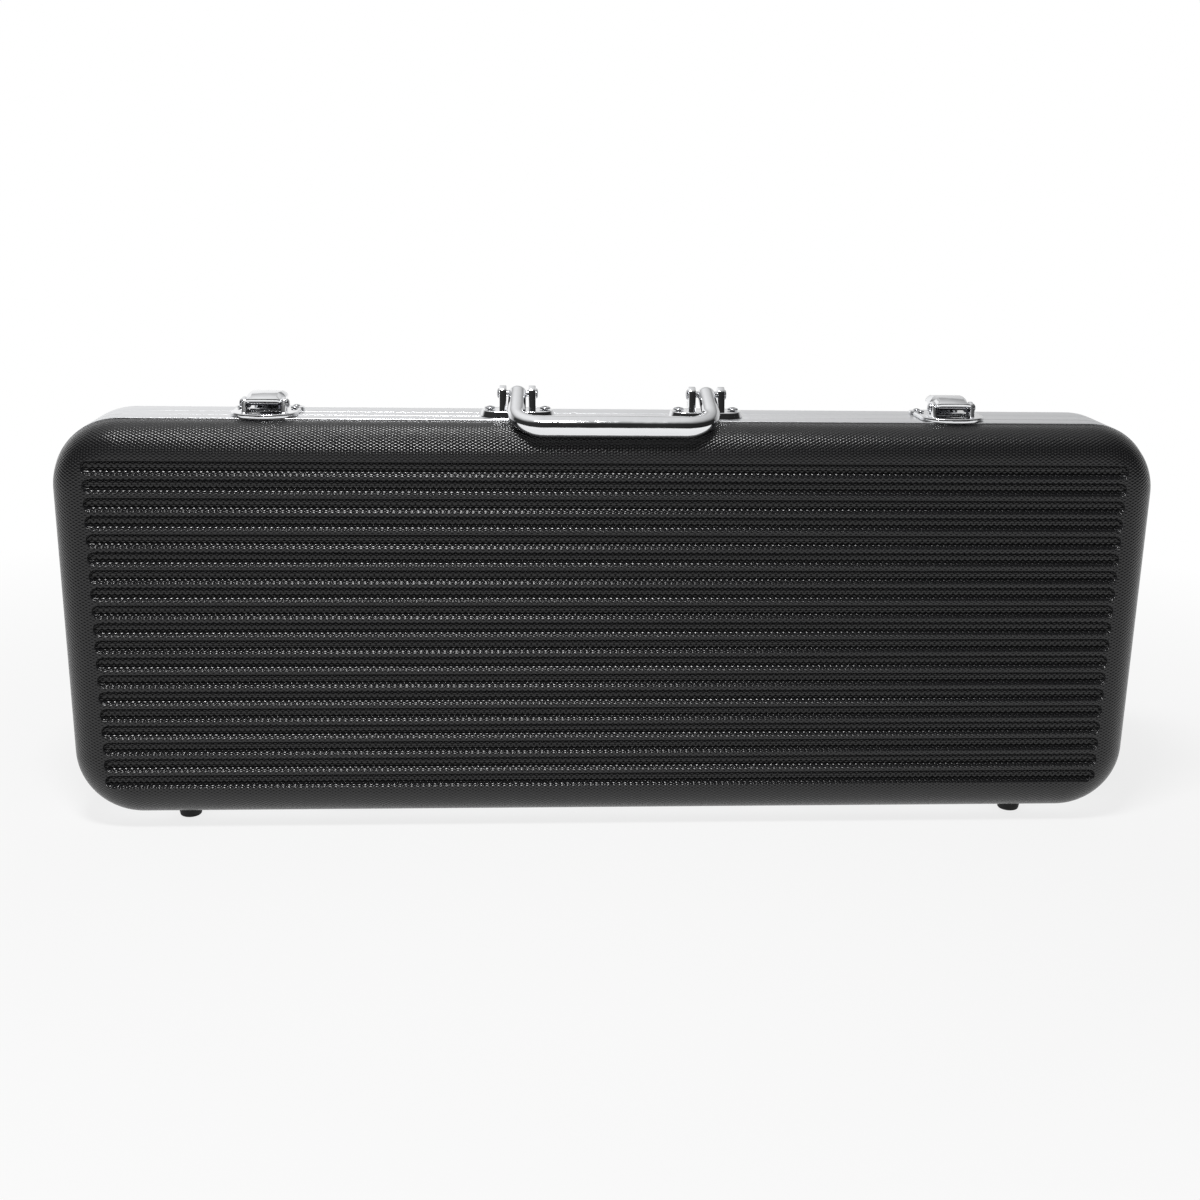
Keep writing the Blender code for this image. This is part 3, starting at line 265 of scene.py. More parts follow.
def give(node, inputs):
    """Give a node's inputs a value, a link, or a link to another node's first output."""
    for key, value in inputs.items():
        if isinstance(value, bpy.types.Node):
            value = value.outputs[0]
        if isinstance(value, bpy.types.NodeSocket):
            node.id_data.links.new(value, node.inputs[key])
        else:
            node.inputs[key].default_value = value


def add_node(tree, kind, inputs=None, **options):
    """Add a node with its options and inputs."""
    node = tree.nodes.new("ShaderNode" + kind)
    for name, value in options.items():
        setattr(node, name, value)
    give(node, inputs or {})
    return node


def new_finish(name, slot, **values):
    """A material, its nodes, its surface shader with the given values, and the place on the object."""
    material = bpy.data.materials.new(name)
    material.use_nodes = True
    shader = material.node_tree.nodes["Principled BSDF"]
    give(shader, {key.replace("_", " "): value for key, value in values.items()})
    print("finish:", name)
    return material, material.node_tree, shader, add_node(material.node_tree, "TexCoord").outputs["Object"]


# %% [markdown]
# ## Black ABS with a moulded weave
# The shells are ABS, a tough plastic that leaves its mould with whatever skin the mould has: here a lattice
# of small glossy domes, one every 3 mm along and every 1.75 mm up, and as many between them. Modelled one
# by one there would be some fifty thousand on a shell. A bump does the same: a product of two cosines draws
# half of the domes, a product of two sines the ones between, and the larger of both keeps a sharp valley
# where domes meet. So a lamp makes one glint on each. It reads the shells' own map of distances.

# %% The shells' finish
WEAVE_ALONG = 0.00305
WEAVE_UP = 0.00175
WEAVE_HEIGHT = 0.00026

black_abs, tree, shader, place = new_finish("moulded_black_abs", "black_abs", IOR=1.5)
split = add_node(tree, "SeparateXYZ", {"Vector": add_node(tree, "UVMap", uv_map="skin")})
turns = [add_node(tree, "Math", {0: split.outputs[axis], 1: pi / period}, operation="MULTIPLY")
         for axis, period in (("X", WEAVE_ALONG), ("Y", WEAVE_UP))]
lattices = []
for wave in ("COSINE", "SINE"):
    across, upright = [add_node(tree, "Math", {0: turn}, operation=wave) for turn in turns]
    both = add_node(tree, "Math", {0: across, 1: upright}, operation="MULTIPLY")
    lattices.append(add_node(tree, "Math", {0: both}, operation="ABSOLUTE"))
domes = add_node(tree, "Math", {0: lattices[0], 1: lattices[1]}, operation="MAXIMUM")
# Handling has burnished the domes, and the valleys keep the mould's duller skin
burnished = add_node(tree, "MapRange", {"Value": domes, "To Min": 0.36, "To Max": 0.10})
uneven = add_node(tree, "TexNoise", {"Vector": place, "Scale": 120.0, "Detail": 3.0})
rough = add_node(tree, "Math", {0: uneven, 1: 0.05, 2: burnished}, operation="MULTIPLY_ADD")
# Painted shade: the valleys between the domes are coloured a little darker than the domes
tint = add_node(tree, "Mix", {0: domes, 6: colour("#161617"), 7: colour("#18181A")}, data_type="RGBA")
raised = add_node(tree, "Bump", {"Height": domes, "Distance": WEAVE_HEIGHT})
give(shader, {"Roughness": rough, "Base Color": tint.outputs[2], "Normal": raised})
print("rows of the weave up a shell:", round(CASE_HEIGHT / WEAVE_UP * 2))

# %% [markdown]
# ## Anodised aluminium
# The frames are an aluminium extrusion, bent round the shells and anodised satin. The die leaves faint
# lines along the metal, which stretch the highlights across it. Noise squeezed hard in y and stretched in
# x and z draws such lines round all four sides, because y is the only direction that crosses them all.

# %% The frames' finish
anodised_aluminium, tree, shader, place = new_finish(
    "extruded_anodised_aluminium", "satin_aluminium", Base_Color=colour("#E4E5E7"), Metallic=1.0)
drawn = add_node(tree, "Mapping", {"Vector": place, "Scale": (3.0, 2200.0, 3.0)})
lines = add_node(tree, "TexNoise", {"Vector": drawn, "Scale": 1.0, "Detail": 4.0})
rough = add_node(tree, "MapRange", {"Value": lines, "To Min": 0.26, "To Max": 0.44})
raised = add_node(tree, "Bump", {"Height": lines, "Distance": 0.000012})
give(shader, {"Roughness": rough, "Normal": raised})

# %% [markdown]
# ## Chrome and plated steel
# Handle, brackets and latches are zinc castings and pressed steel, polished and chrome plated. Chrome has
# almost no colour of its own: it shows the room. Only a slow waviness left by polishing, some 6 mm across,
# and a film of finger grease that dulls it in patches, tell it from a perfect mirror. The screws and pins
# are bright zinc plated instead, a little greyer and duller, with fine grain.

# %% The bright metals
def new_bright_metal(name, slot, code, dull, wave_size, wave_height):
    """A plated metal: its roughness goes between two values, and polishing waves bend its highlights."""
    metal, tree, shader, place = new_finish(name, slot, Base_Color=colour(code), Metallic=1.0)
    film = add_node(tree, "TexNoise", {"Vector": place, "Scale": 90.0, "Detail": 5.0})
    rough = add_node(tree, "MapRange", {
        "Value": film, "From Min": 0.35, "From Max": 0.7, "To Min": dull[0], "To Max": dull[1]})
    waves = add_node(tree, "TexNoise", {"Vector": place, "Scale": 1 / wave_size, "Detail": 1.0})
    raised = add_node(tree, "Bump", {"Height": waves, "Distance": wave_height})
    give(shader, {"Roughness": rough, "Normal": raised})
    return metal


chrome = new_bright_metal("polished_chrome_plate", "chrome_plate", "#ECEDEF", (0.05, 0.13), 0.006, 0.00012)
zinc = new_bright_metal("bright_zinc_plated_steel", "plated_steel", "#C4C5C8", (0.16, 0.30), 0.0012, 0.00003)
# Painted shade: a dark steel for the block that stands for the lever's shadow in each latch window
painted_shade_steel = new_bright_metal("dark_steel_painted_shade", "plated_steel", "#26262A", (0.35, 0.5), 0.0012, 0.00003)

# %% [markdown]
# ## Rubber, flock and velvet
# The feet are moulded rubber: black, matt, with a fine pebble. The trays are thin sheet, drawn over a
# mould by vacuum and dusted with flock, short upright fibres that scatter light towards the rims of every
# shape. Velvet does the same more strongly, so both get the shader's sheen. Its weight and roughness are
# the same all over, and only the fibres' height and shade vary.

# %% The soft finishes
def new_soft_finish(name, slot, dark, light, roughness, grain, grain_height, sheen, patch=60.0):
    """A matt or furry surface: grain for its height, and slow patches for its shade."""
    soft, tree, shader, place = new_finish(
        name, slot, Roughness=roughness, Sheen_Weight=sheen, Sheen_Roughness=0.35)
    fibres = add_node(tree, "TexNoise", {"Vector": place, "Scale": 1 / grain, "Detail": 2.0})
    patches = add_node(tree, "TexNoise", {"Vector": place, "Scale": patch, "Detail": 3.0})
    both = add_node(tree, "Math", {0: fibres, 1: patches}, operation="MULTIPLY")
    share = add_node(tree, "MapRange", {"Value": both, "From Min": 0.1, "From Max": 0.45})
    tint = add_node(tree, "Mix", {0: share, 6: colour(dark), 7: colour(light)}, data_type="RGBA")
    raised = add_node(tree, "Bump", {"Height": fibres, "Distance": grain_height})
    give(shader, {"Base Color": tint.outputs[2], "Normal": raised})
    return soft


rubber = new_soft_finish(
    "moulded_black_rubber", "black_rubber", "#0C0C0C", "#1A1A1A", 0.75, 0.0006, 0.00004, 0.0)
flock = new_soft_finish(
    "black_flocked_sheet", "flocked_tray", "#0B0B0D", "#222226", 0.95, 0.0005, 0.00015, 0.35)
velvet = new_soft_finish("black_velvet", "velvet_pad", "#09090B", "#202024", 1.0, 0.0007, 0.0002, 0.6, 25.0)

# %% [markdown]
# ## Round the case
# Shells and frames share one outline, a rectangle with rounded corners. Each is a profile carried round it:
# a quarter turn at each corner and a straight run between. Blender's spin does both, because a spin of no
# angle with a step is a straight run. The profile is drawn at the right end of the top side, as distance
# in from the outline and depth.

# %% Carry a profile round the outline
CORNER_STEPS = 24
ACROSS = CASE_WIDTH / 2 - CORNER_RADIUS
LOW_CORNER = CORNER_RADIUS
HIGH_CORNER = CASE_HEIGHT - CORNER_RADIUS


def add_round_case(bm, profile, closed=False, steps=CORNER_STEPS):
    """Carry a profile of (inset, y) points once round the case."""
    verts = [bm.verts.new((ACROSS, y, CASE_HEIGHT - inset)) for inset, y in profile]
    pairs = list(zip(verts, verts[1:])) + ([(verts[-1], verts[0])] if closed else [])
    geom = verts + [bm.edges.new(pair) for pair in pairs]
    width, height = 2 * ACROSS, HIGH_CORNER - LOW_CORNER
    for x, z, run in ((ACROSS, HIGH_CORNER, (0, 0, -height)), (ACROSS, LOW_CORNER, (-width, 0, 0)),
                      (-ACROSS, LOW_CORNER, (0, 0, height)), (-ACROSS, HIGH_CORNER, (width, 0, 0))):
        for options in ({"angle": pi / 2, "steps": steps}, {"angle": 0.0, "steps": 1, "dvec": run}):
            geom = bmesh.ops.spin(bm, geom=geom, cent=(x, 0, z), axis=Y_AXIS, **options)["geom_last"]
    bmesh.ops.remove_doubles(bm, verts=bm.verts, dist=MERGE)


def close_ends(bm):
    """Fill the openings of a profile that was carried round."""
    bmesh.ops.holes_fill(bm, edges=[edge for edge in bm.edges if edge.is_boundary], sides=0)


# %% [markdown]
# ## The ribbed shells
# Each half shell is a dish: a rim that steps in behind the frame's lip, a shoulder that turns through
# a quarter circle, and a thick face with nineteen round grooves between narrow flat crests. The solid model
# has them with few sides, cut by a boolean. Here the face is cut into strips, which are pressed down to the
# groove's depth. That gives an even mesh, rounded ends, and a small round at each lip, as a mould has.

# %% Sizes of a shell
SHELL_INSET = 0.0006
RIM_INSET = 0.0013
SHELL_WALL = 0.0027
SHELL_EDGE_RADIUS = 0.0165
SHELL_FACE = 0.0353
SHELL_FLOOR = 0.0307
SHELL_RIM = 0.0107
PANEL_SIDE_MARGIN = 0.0184
PANEL_END_MARGIN = 0.0190
GROOVE_COUNT = 19
GROOVE_DEPTH = 0.0030
CREST_WIDTH = 0.0026
PITCH = (CASE_HEIGHT - 2 * PANEL_END_MARGIN + CREST_WIDTH) / GROOVE_COUNT
GROOVE_HALF = (PITCH - CREST_WIDTH) / 2
GROOVE_RADIUS = (GROOVE_HALF ** 2 + GROOVE_DEPTH ** 2) / (2 * GROOVE_DEPTH)
GROOVE_REACH = CASE_WIDTH / 2 - PANEL_SIDE_MARGIN - GROOVE_RADIUS
GROOVES = [PANEL_END_MARGIN + GROOVE_HALF + i * PITCH for i in range(GROOVE_COUNT)]
# Where the round lip takes over from the groove's arc, and where it ends
LIP_START = GROOVE_HALF - 0.00018
LIP_END = GROOVE_HALF + 0.00035
print("pitch of the grooves:", round(PITCH * 1000, 2), "mm")


# %% The depth of a groove
def groove_arc(away):
    """Depth of the groove's round bottom at a distance from its middle line."""
    return sqrt(GROOVE_RADIUS ** 2 - away ** 2) - (GROOVE_RADIUS - GROOVE_DEPTH)


def groove_depth(away):
    """The same with a round lip that eases into the face."""
    if away <= LIP_START:
        return groove_arc(away)
    if away >= LIP_END:
        return 0.0
    width = LIP_END - LIP_START
    share = (away - LIP_START) / width
    slope = -LIP_START / sqrt(GROOVE_RADIUS ** 2 - LIP_START ** 2) * width
    return (groove_arc(LIP_START) * (2 * share ** 3 - 3 * share ** 2 + 1)
            + slope * (share ** 3 - 2 * share ** 2 + share))


def nearest_groove(x, z):
    """The nearest groove's middle point, and the distance to it."""
    middle_z = min(GROOVES, key=lambda groove: abs(groove - z))
    middle_x = max(-GROOVE_REACH, min(GROOVE_REACH, x))
    return middle_x, middle_z, hypot(x - middle_x, z - middle_z)


# %% [markdown]
# The weave has to follow the skin: over the shoulder and down the wall without stretching, and round the
# bottom of each groove. So the map that the finish reads holds distances along the skin, in metres. On the
# face it is simply x and z. Outside the face's core it runs on at right angles to the outline, with the
# shoulder's arc unrolled. In a groove it unrolls the groove's arc.

# %% Distances along the skin
CORE_RADIUS = CORNER_RADIUS - SHELL_INSET - SHELL_EDGE_RADIUS


def skin_place(point, in_groove):
    """Unrolled place of a point of the skin."""
    x, z = point.x, point.z
    if in_groove:
        middle_x, middle_z, away = nearest_groove(x, z)
        unrolled = GROOVE_RADIUS * asin(min(1.0, away / GROOVE_RADIUS))
        stretch = unrolled / away if away > MERGE else 1.0
        return middle_x + (x - middle_x) * stretch, middle_z + (z - middle_z) * stretch
    core = Vector((max(-ACROSS, min(ACROSS, x)), max(LOW_CORNER, min(HIGH_CORNER, z))))
    out = Vector((x, z)) - core
    beyond = out.length - CORE_RADIUS
    if beyond <= 0.0:
        return x, z
    unrolled = SHELL_EDGE_RADIUS * asin(min(1.0, beyond / SHELL_EDGE_RADIUS))
    unrolled += max(0.0, SHELL_FACE - SHELL_EDGE_RADIUS - abs(point.y))
    return tuple(core + out.normalized() * (CORE_RADIUS + unrolled))


# %% Make the shells
EDGE_STEPS = 16
LIP_CUTS = [0.0, 0.0010, 0.0019, 0.0026, LIP_START, GROOVE_HALF, LIP_END]
END_CUTS = [0.0, 0.0006, 0.0012, 0.0018, 0.0023, 0.0027, LIP_START, GROOVE_HALF, LIP_END]
STRIP_LENGTH = 0.04


def shell_profile():
    """From the face's edge over the shoulder, in behind the frame's lip, and back along the inside."""
    inside = SHELL_INSET + SHELL_WALL
    step = FRAME_DEPTH / 2 + GAP
    profile = round_corner(SHELL_INSET, SHELL_FACE, SHELL_EDGE_RADIUS, -1, EDGE_STEPS)
    profile += [(SHELL_INSET, step), (RIM_INSET, step), (RIM_INSET, SHELL_RIM), (inside, SHELL_RIM)]
    profile += reversed(round_corner(inside, SHELL_FLOOR, SHELL_EDGE_RADIUS - SHELL_WALL, -1, EDGE_STEPS))
    return profile


def make_shell(half_name, half):
    """A dish with a rounded edge, whose face is cut into strips and pressed into grooves."""
    bm = bmesh.new()
    skin = bm.loops.layers.uv.new("skin")
    add_round_case(bm, [(inset, half * y) for inset, y in shell_profile()])
    close_ends(bm)
    planes = [(Z_AXIS, groove + side * away) for groove in GROOVES for away in LIP_CUTS
              for side in (-1, 1) if away or side == 1]
    planes += [(X_AXIS, side * (GROOVE_REACH + away)) for away in END_CUTS for side in (-1, 1)]
    planes += [(X_AXIS, STRIP_LENGTH * i) for i in range(-6, 7)]
    faces = [face for face in bm.faces if half * face.calc_center_median().y > SHELL_FLOOR + MERGE]
    for vert in verts_of(cut(bm, planes, with_edges(faces))):
        floor = SHELL_FACE - groove_depth(nearest_groove(vert.co.x, vert.co.z)[2])
        if half * vert.co.y > floor:
            vert.co.y = half * floor
    for face in bm.faces:
        middle = face.calc_center_median()
        deep = half * middle.y > SHELL_FLOOR and nearest_groove(middle.x, middle.z)[2] < GROOVE_HALF
        for loop in face.loops:
            loop[skin].uv = skin_place(loop.vert.co, deep)
    dress(half_name + "_shell", "ribbed", bm, half_name, black_abs)


for half_name, half in HALVES.items():
    make_shell(half_name, half)

# %% [markdown]
# ## The aluminium frames
# One extrusion serves both halves. Its section has a flat outer skin with softly broken edges, a channel
# that holds the shell's rim, and at the parting a tongue on the base half that slides behind the lid's
# skin. A fine trim line is rolled along the base half. Extrusions are made by pushing metal through a die,
# so the natural way to model one is its section carried along its path.

# %% Sizes of the frames
FRAME_LIP = 0.0010
FRAME_SKIN = 0.0012
FRAME_LEG_INSET = 0.0036
FRAME_LEG = 0.0012
FRAME_WEB = 0.0015
FRAME_CHANNEL_DEPTH = 0.0080
FRAME_EDGE_BREAK = 0.0004
TONGUE_THICKNESS = 0.0012
TONGUE_REACH = 0.0025
TRIM_LINE_FROM_EDGE = 0.0107
TRIM_LINE_WIDTH = 0.0007
TRIM_LINE_DEPTH = 0.0004
BREAK_STEPS = 4


# %% Make the frames
def frame_profile(half):
    """The extrusion's section as (inset, y) points, for the base or the lid."""
    edge = FRAME_DEPTH / 2
    part = half * PARTING + GAP / 2
    channel = edge - FRAME_CHANNEL_DEPTH
    web = channel - FRAME_WEB
    back = FRAME_LEG_INSET + FRAME_LEG
    leg_end = SHELL_FLOOR - SHELL_EDGE_RADIUS + SHELL_WALL - GAP
    profile = [(FRAME_LIP, edge)] + round_corner(0.0, edge, FRAME_EDGE_BREAK, -1, BREAK_STEPS)
    if half == BASE:
        line = edge - TRIM_LINE_FROM_EDGE
        profile += [(0.0, line + TRIM_LINE_WIDTH / 2), (TRIM_LINE_DEPTH, line + TRIM_LINE_WIDTH / 6),
                    (TRIM_LINE_DEPTH, line - TRIM_LINE_WIDTH / 6), (0.0, line - TRIM_LINE_WIDTH / 2)]
    profile += reversed(round_corner(0.0, part, FRAME_EDGE_BREAK / 2, 1, BREAK_STEPS))
    profile += [(FRAME_SKIN, part), (FRAME_SKIN, web)]
    if half == BASE:
        tongue = FRAME_SKIN + GAP
        tip = part - TONGUE_REACH
        profile += [(tongue, web), (tongue, tip)]
        profile += [(tongue + TONGUE_THICKNESS, tip), (tongue + TONGUE_THICKNESS, web)]
    profile += [(FRAME_LEG_INSET, web), (FRAME_LEG_INSET, part), (back, part), (back, leg_end)]
    profile += [(FRAME_LEG_INSET, leg_end), (FRAME_LEG_INSET, channel), (FRAME_LIP, channel)]
    return profile


for half_name, half in HALVES.items():
    bm = bmesh.new()
    add_round_case(bm, [(inset, half * y) for inset, y in frame_profile(half)], closed=True)
    dress(half_name + "_frame", "extrusion", bm, half_name, anodised_aluminium, crease=50)

# %% [markdown]
# ## The handle
# The handle is a bail: one bar, bent twice, that swings on two pins and rests on the front shell's shoulder.
# Its arms are a little flattened and end in domes, and the grip is thicker and crowned towards the fingers.
# A curve with a bevel can't change its section like that. So a ring is extruded from station to station,
# where a matrix gives its place, heading and size, and the crown is pushed out afterwards.

# %% Where the handle turns and rests
HANDLE_SPACING = 0.0964
HANDLE_PIN = Vector((0.0, PARTING - 0.0090, CASE_HEIGHT + 0.0114))
ARM_LENGTH = 0.0316
ARM_RADIUS = 0.0046
ARM_FLATTENING = 0.0009
ARM_SPREAD = 0.0006
BEND_RADIUS = 0.0135
GRIP_RADIUS = 0.0054
GRIP_CROWN = 0.0018

shoulder = Vector((0.0, SHELL_EDGE_RADIUS - SHELL_FACE, CASE_HEIGHT - SHELL_INSET - SHELL_EDGE_RADIUS))
between = shoulder - HANDLE_PIN
rest_reach = SHELL_EDGE_RADIUS + GRIP_RADIUS + 2 * GAP
along = (between.length_squared + ARM_LENGTH ** 2 - rest_reach ** 2) / (2 * between.length)
aside = sqrt(ARM_LENGTH ** 2 - along ** 2)
toward = between.normalized()
grip = HANDLE_PIN + toward * along + Vector((0.0, toward.z, -toward.y)) * aside
OUTWARD = (grip - HANDLE_PIN).normalized()
UPWARD = Vector(X_AXIS).cross(OUTWARD)
if UPWARD.z < 0:
    UPWARD.negate()
print("the grip rests at y, z in mm:", round(grip.y * 1000, 1), round(grip.z * 1000, 1))


# %% Stations along the bar
BEND_STEPS = 16
GRIP_STEPS = 24
DOME_STEPS = 7
TIP_TURN = radians(84)
STRAIGHT_HALF = HANDLE_SPACING / 2 + ARM_SPREAD - BEND_RADIUS
BEND_START = ARM_LENGTH - BEND_RADIUS


def bail_half():
    """Stations from one arm's tip to the start of the grip: x, reach, heading, size, blend to the grip."""
    lean = atan2(ARM_SPREAD, BEND_START)
    half = []
    for i in range(DOME_STEPS + 1):
        turn = TIP_TURN * (1 - i / DOME_STEPS)
        half.append((HANDLE_SPACING / 2, -ARM_RADIUS * sin(turn), pi / 2 - lean, cos(turn), 0.0))
    for i, turn in enumerate(quarter(BEND_STEPS)):
        half.append((STRAIGHT_HALF + BEND_RADIUS * cos(turn), BEND_START + BEND_RADIUS * sin(turn),
                     pi / 2 + turn, 1.0, i / BEND_STEPS))
    return half


def station(x, reach, heading, size, blend):
    """The matrix that stands a unit ring at its place on the bar, with its two half axes."""
    ease = blend * blend * (3 - 2 * blend)
    wide = ARM_RADIUS + (GRIP_RADIUS - ARM_RADIUS) * ease
    thick = wide - ARM_FLATTENING * (1 - ease)
    sideways = Vector((-sin(heading), 0.0, 0.0)) + OUTWARD * cos(heading)
    axes = (sideways * wide * size, UPWARD * thick * size, sideways.cross(UPWARD))
    centre = HANDLE_PIN + Vector((x, 0.0, 0.0)) + OUTWARD * reach
    return Matrix.Translation(centre) @ Matrix(axes).transposed().to_4x4()


# %% Make the handle
BAIL_SIDES = 48


def sweep(bm, verts, edges, stations):
    """Extrude a drawn line from station to station, and return its last edges."""
    bmesh.ops.transform(bm, matrix=stations[0], verts=verts)
    for last, this in zip(stations, stations[1:]):
        verts, edges = extrude_edges(bm, edges)
        bmesh.ops.transform(bm, matrix=this @ last.inverted(), verts=verts)
    return edges


half = bail_half()
places = half + [(STRAIGHT_HALF * (1 - 2 * i / GRIP_STEPS), ARM_LENGTH, pi, 1.0, 1.0)
                 for i in range(1, GRIP_STEPS)]
places += [(-x, reach, 2 * pi - heading, size, blend) for x, reach, heading, size, blend in reversed(half)]
bm = bmesh.new()
ring = bmesh.ops.create_circle(bm, cap_ends=False, segments=BAIL_SIDES, radius=1.0)["verts"]
first = list({edge for vert in ring for edge in vert.link_edges})
last = sweep(bm, ring, first, [station(*place) for place in places])
for end in (first, last):
    bmesh.ops.contextual_create(bm, geom=end)
for vert in bm.verts:
    if abs(vert.co.x) < STRAIGHT_HALF:
        inward = -(vert.co - grip).dot(OUTWARD) / GRIP_RADIUS
        vert.co -= OUTWARD * GRIP_CROWN * max(0.0, inward) * cos(vert.co.x / STRAIGHT_HALF * pi / 2)
add_piece("handle_polished_bail", bm, "handle", chrome, ["handle_bail"])

# %% [markdown]
# ## Plates, ears and pins
# Brackets, latch plates and catches are pressed or cast plates with rounded ends and upright ears that hold
# a pin. A plate starts as a cube whose upright edges are rounded until its ends are half circles, and then
# its upper edge is broken. An ear starts as one point that is spun about the pin's axis to draw its round
# top, closed down to a wide foot, and extruded to its thickness.

# %% Plates
def add_box(bm, low, high):
    """A box between two corners, and its vertices."""
    low, high = Vector(low), Vector(high)
    place = Matrix.Translation((low + high) / 2) @ Matrix.Diagonal((*(high - low), 1.0))
    return bmesh.ops.create_cube(bm, size=1.0, matrix=place)["verts"]


def add_plate(bm, low, high, corner, broken, draft):
    """A flat plate with round corners seen from above, sides that lean in by a draft, and a broken edge."""
    verts = add_box(bm, low, high)
    upright = [edge for edge in {edge for vert in verts for edge in vert.link_edges}
               if abs(edge.verts[0].co.z - edge.verts[1].co.z) > MERGE]
    round_edges(bm, upright, corner, 10)
    middle = (Vector(low) + Vector(high)) / 2
    for vert in bm.verts:
        if vert.co.z > middle.z:
            vert.co.x -= draft * (vert.co.x - middle.x) / (high[0] - middle.x)
            vert.co.y -= draft * (vert.co.y - middle.y) / (high[1] - middle.y)
    round_edges(bm, top_rim(bm, high[2]), broken)


# %% Ears and pins
EAR_SINK = 0.0006
EAR_BREAK = 0.0004


def add_ear(bm, x, thickness, pin, foot_z, radius, foot):
    """An upright plate with a wide foot and a round top about the pin."""
    rise = pin.z - foot_z
    start_turn = atan2(-rise, foot / 2) + acos(radius / hypot(foot / 2, rise))
    before = set(bm.verts)
    near = bm.verts.new((x, pin.y + foot / 2, foot_z))
    first = bm.verts.new((x, pin.y + radius * cos(start_turn), pin.z + radius * sin(start_turn)))
    far = bm.verts.new((x, pin.y - foot / 2, foot_z))
    bend = bmesh.ops.spin(bm, geom=[first], cent=(x, pin.y, pin.z), axis=X_AXIS, angle=pi - 2 * start_turn,
                          steps=16)
    last = verts_of(bend["geom_last"])[0]
    for pair in ((near, first), (last, far), (far, near)):
        bm.edges.new(pair)
    outline = list({edge for vert in set(bm.verts) - before for edge in vert.link_edges})
    extrude_faces(bm, bmesh.ops.contextual_create(bm, geom=outline)["faces"], (thickness, 0.0, 0.0))
    made = set(bm.verts) - before
    rims = [edge for edge in bm.edges if edge.verts[0] in made and edge.verts[1] in made
            and abs(edge.verts[0].co.x - edge.verts[1].co.x) < MERGE
            and max(vert.co.z for vert in edge.verts) > foot_z + MERGE]
    bmesh.ops.recalc_face_normals(bm, faces=list({face for vert in made for face in vert.link_faces}))
    round_edges(bm, rims, EAR_BREAK, 2)


def add_ears(bm, pin, half_gap, thickness, top, radius, foot):
    """The two ears that hold a pin on a plate."""
    for side in SIDES.values():
        start = pin.x + side * half_gap
        add_ear(bm, min(start, start + side * thickness), thickness, pin, top - EAR_SINK, radius, foot)


def add_pin(bm, centre, half_length, radius, head_radius, head_height):
    """A pin along x with a domed head at each end."""
    side = [(half_length, radius)]
    side += [(half_length + head_height * sin(turn), head_radius * cos(turn)) for turn in quarter(5)]
    add_turned(bm, [(-along, away) for along, away in reversed(side)] + side, centre, X_AXIS)


# %% The handle's brackets
BRACKET_LENGTH = 0.0380
BRACKET_WIDTH = 0.0170
BRACKET_TOP = CASE_HEIGHT + GAP + 0.0029
BRACKET_BREAK = 0.0006
BRACKET_DRAFT = 0.0007
EAR_GAP = 0.0112
EAR_THICKNESS = 0.0036
for side_name, side in SIDES.items():
    pin = HANDLE_PIN + Vector((side * HANDLE_SPACING / 2, 0.0, 0.0))
    bm = bmesh.new()
    add_plate(bm, (pin.x - BRACKET_LENGTH / 2, pin.y - BRACKET_WIDTH / 2, CASE_HEIGHT + GAP),
              (pin.x + BRACKET_LENGTH / 2, pin.y + BRACKET_WIDTH / 2, BRACKET_TOP),
              BRACKET_WIDTH / 2 - 0.0001, BRACKET_BREAK, BRACKET_DRAFT)
    add_ears(bm, pin, EAR_GAP / 2, EAR_THICKNESS, BRACKET_TOP, radius=0.0040, foot=0.0110)
    dress("handle_bracket_" + side_name, "cast", bm, "base", chrome)
    bm = bmesh.new()
    add_pin(bm, pin, EAR_GAP / 2 + EAR_THICKNESS + GAP, radius=0.0016, head_radius=0.0026, head_height=0.0010)
    dress("handle_pin_" + side_name, "turned", bm, "base", zinc)

# %% [markdown]
# ## The latches
# Each latch is a toggle: lifting the lever swings a claw off the catch on the lid. The base is a plate whose
# front is half an ellipse with a rolled edge, with a window. Under the window a block of dark steel is
# painted shade, for the shadow that the lever casts into the works. The lever's cover is pressed sheet with
# creased shoulders, whose section only changes in width and height. So one bent line is extruded from station
# to station, as the bail was, and the sheet then gets its thickness.

# %% Sizes of a latch
LATCH_X = CASE_WIDTH / 2 - 0.1047
LATCH_HALF = 0.0165
LATCH_BACK = PARTING - 0.0006
LATCH_SIDE = LATCH_BACK - 0.0135
LATCH_FRONT_REACH = 0.0115
LATCH_LOW = CASE_HEIGHT + GAP
LATCH_TOP = LATCH_LOW + 0.0018
LATCH_ROLL = 0.0007
LATCH_EAR = 0.0020
WINDOW_HALF = 0.0088
WINDOW_BACK = PARTING - 0.0055
WINDOW_FRONT = WINDOW_BACK - 0.0130
WELL_MARGIN = 0.0005
LEVER_PIN = Vector((0.0, PARTING - 0.0120, CASE_HEIGHT + 0.0060))


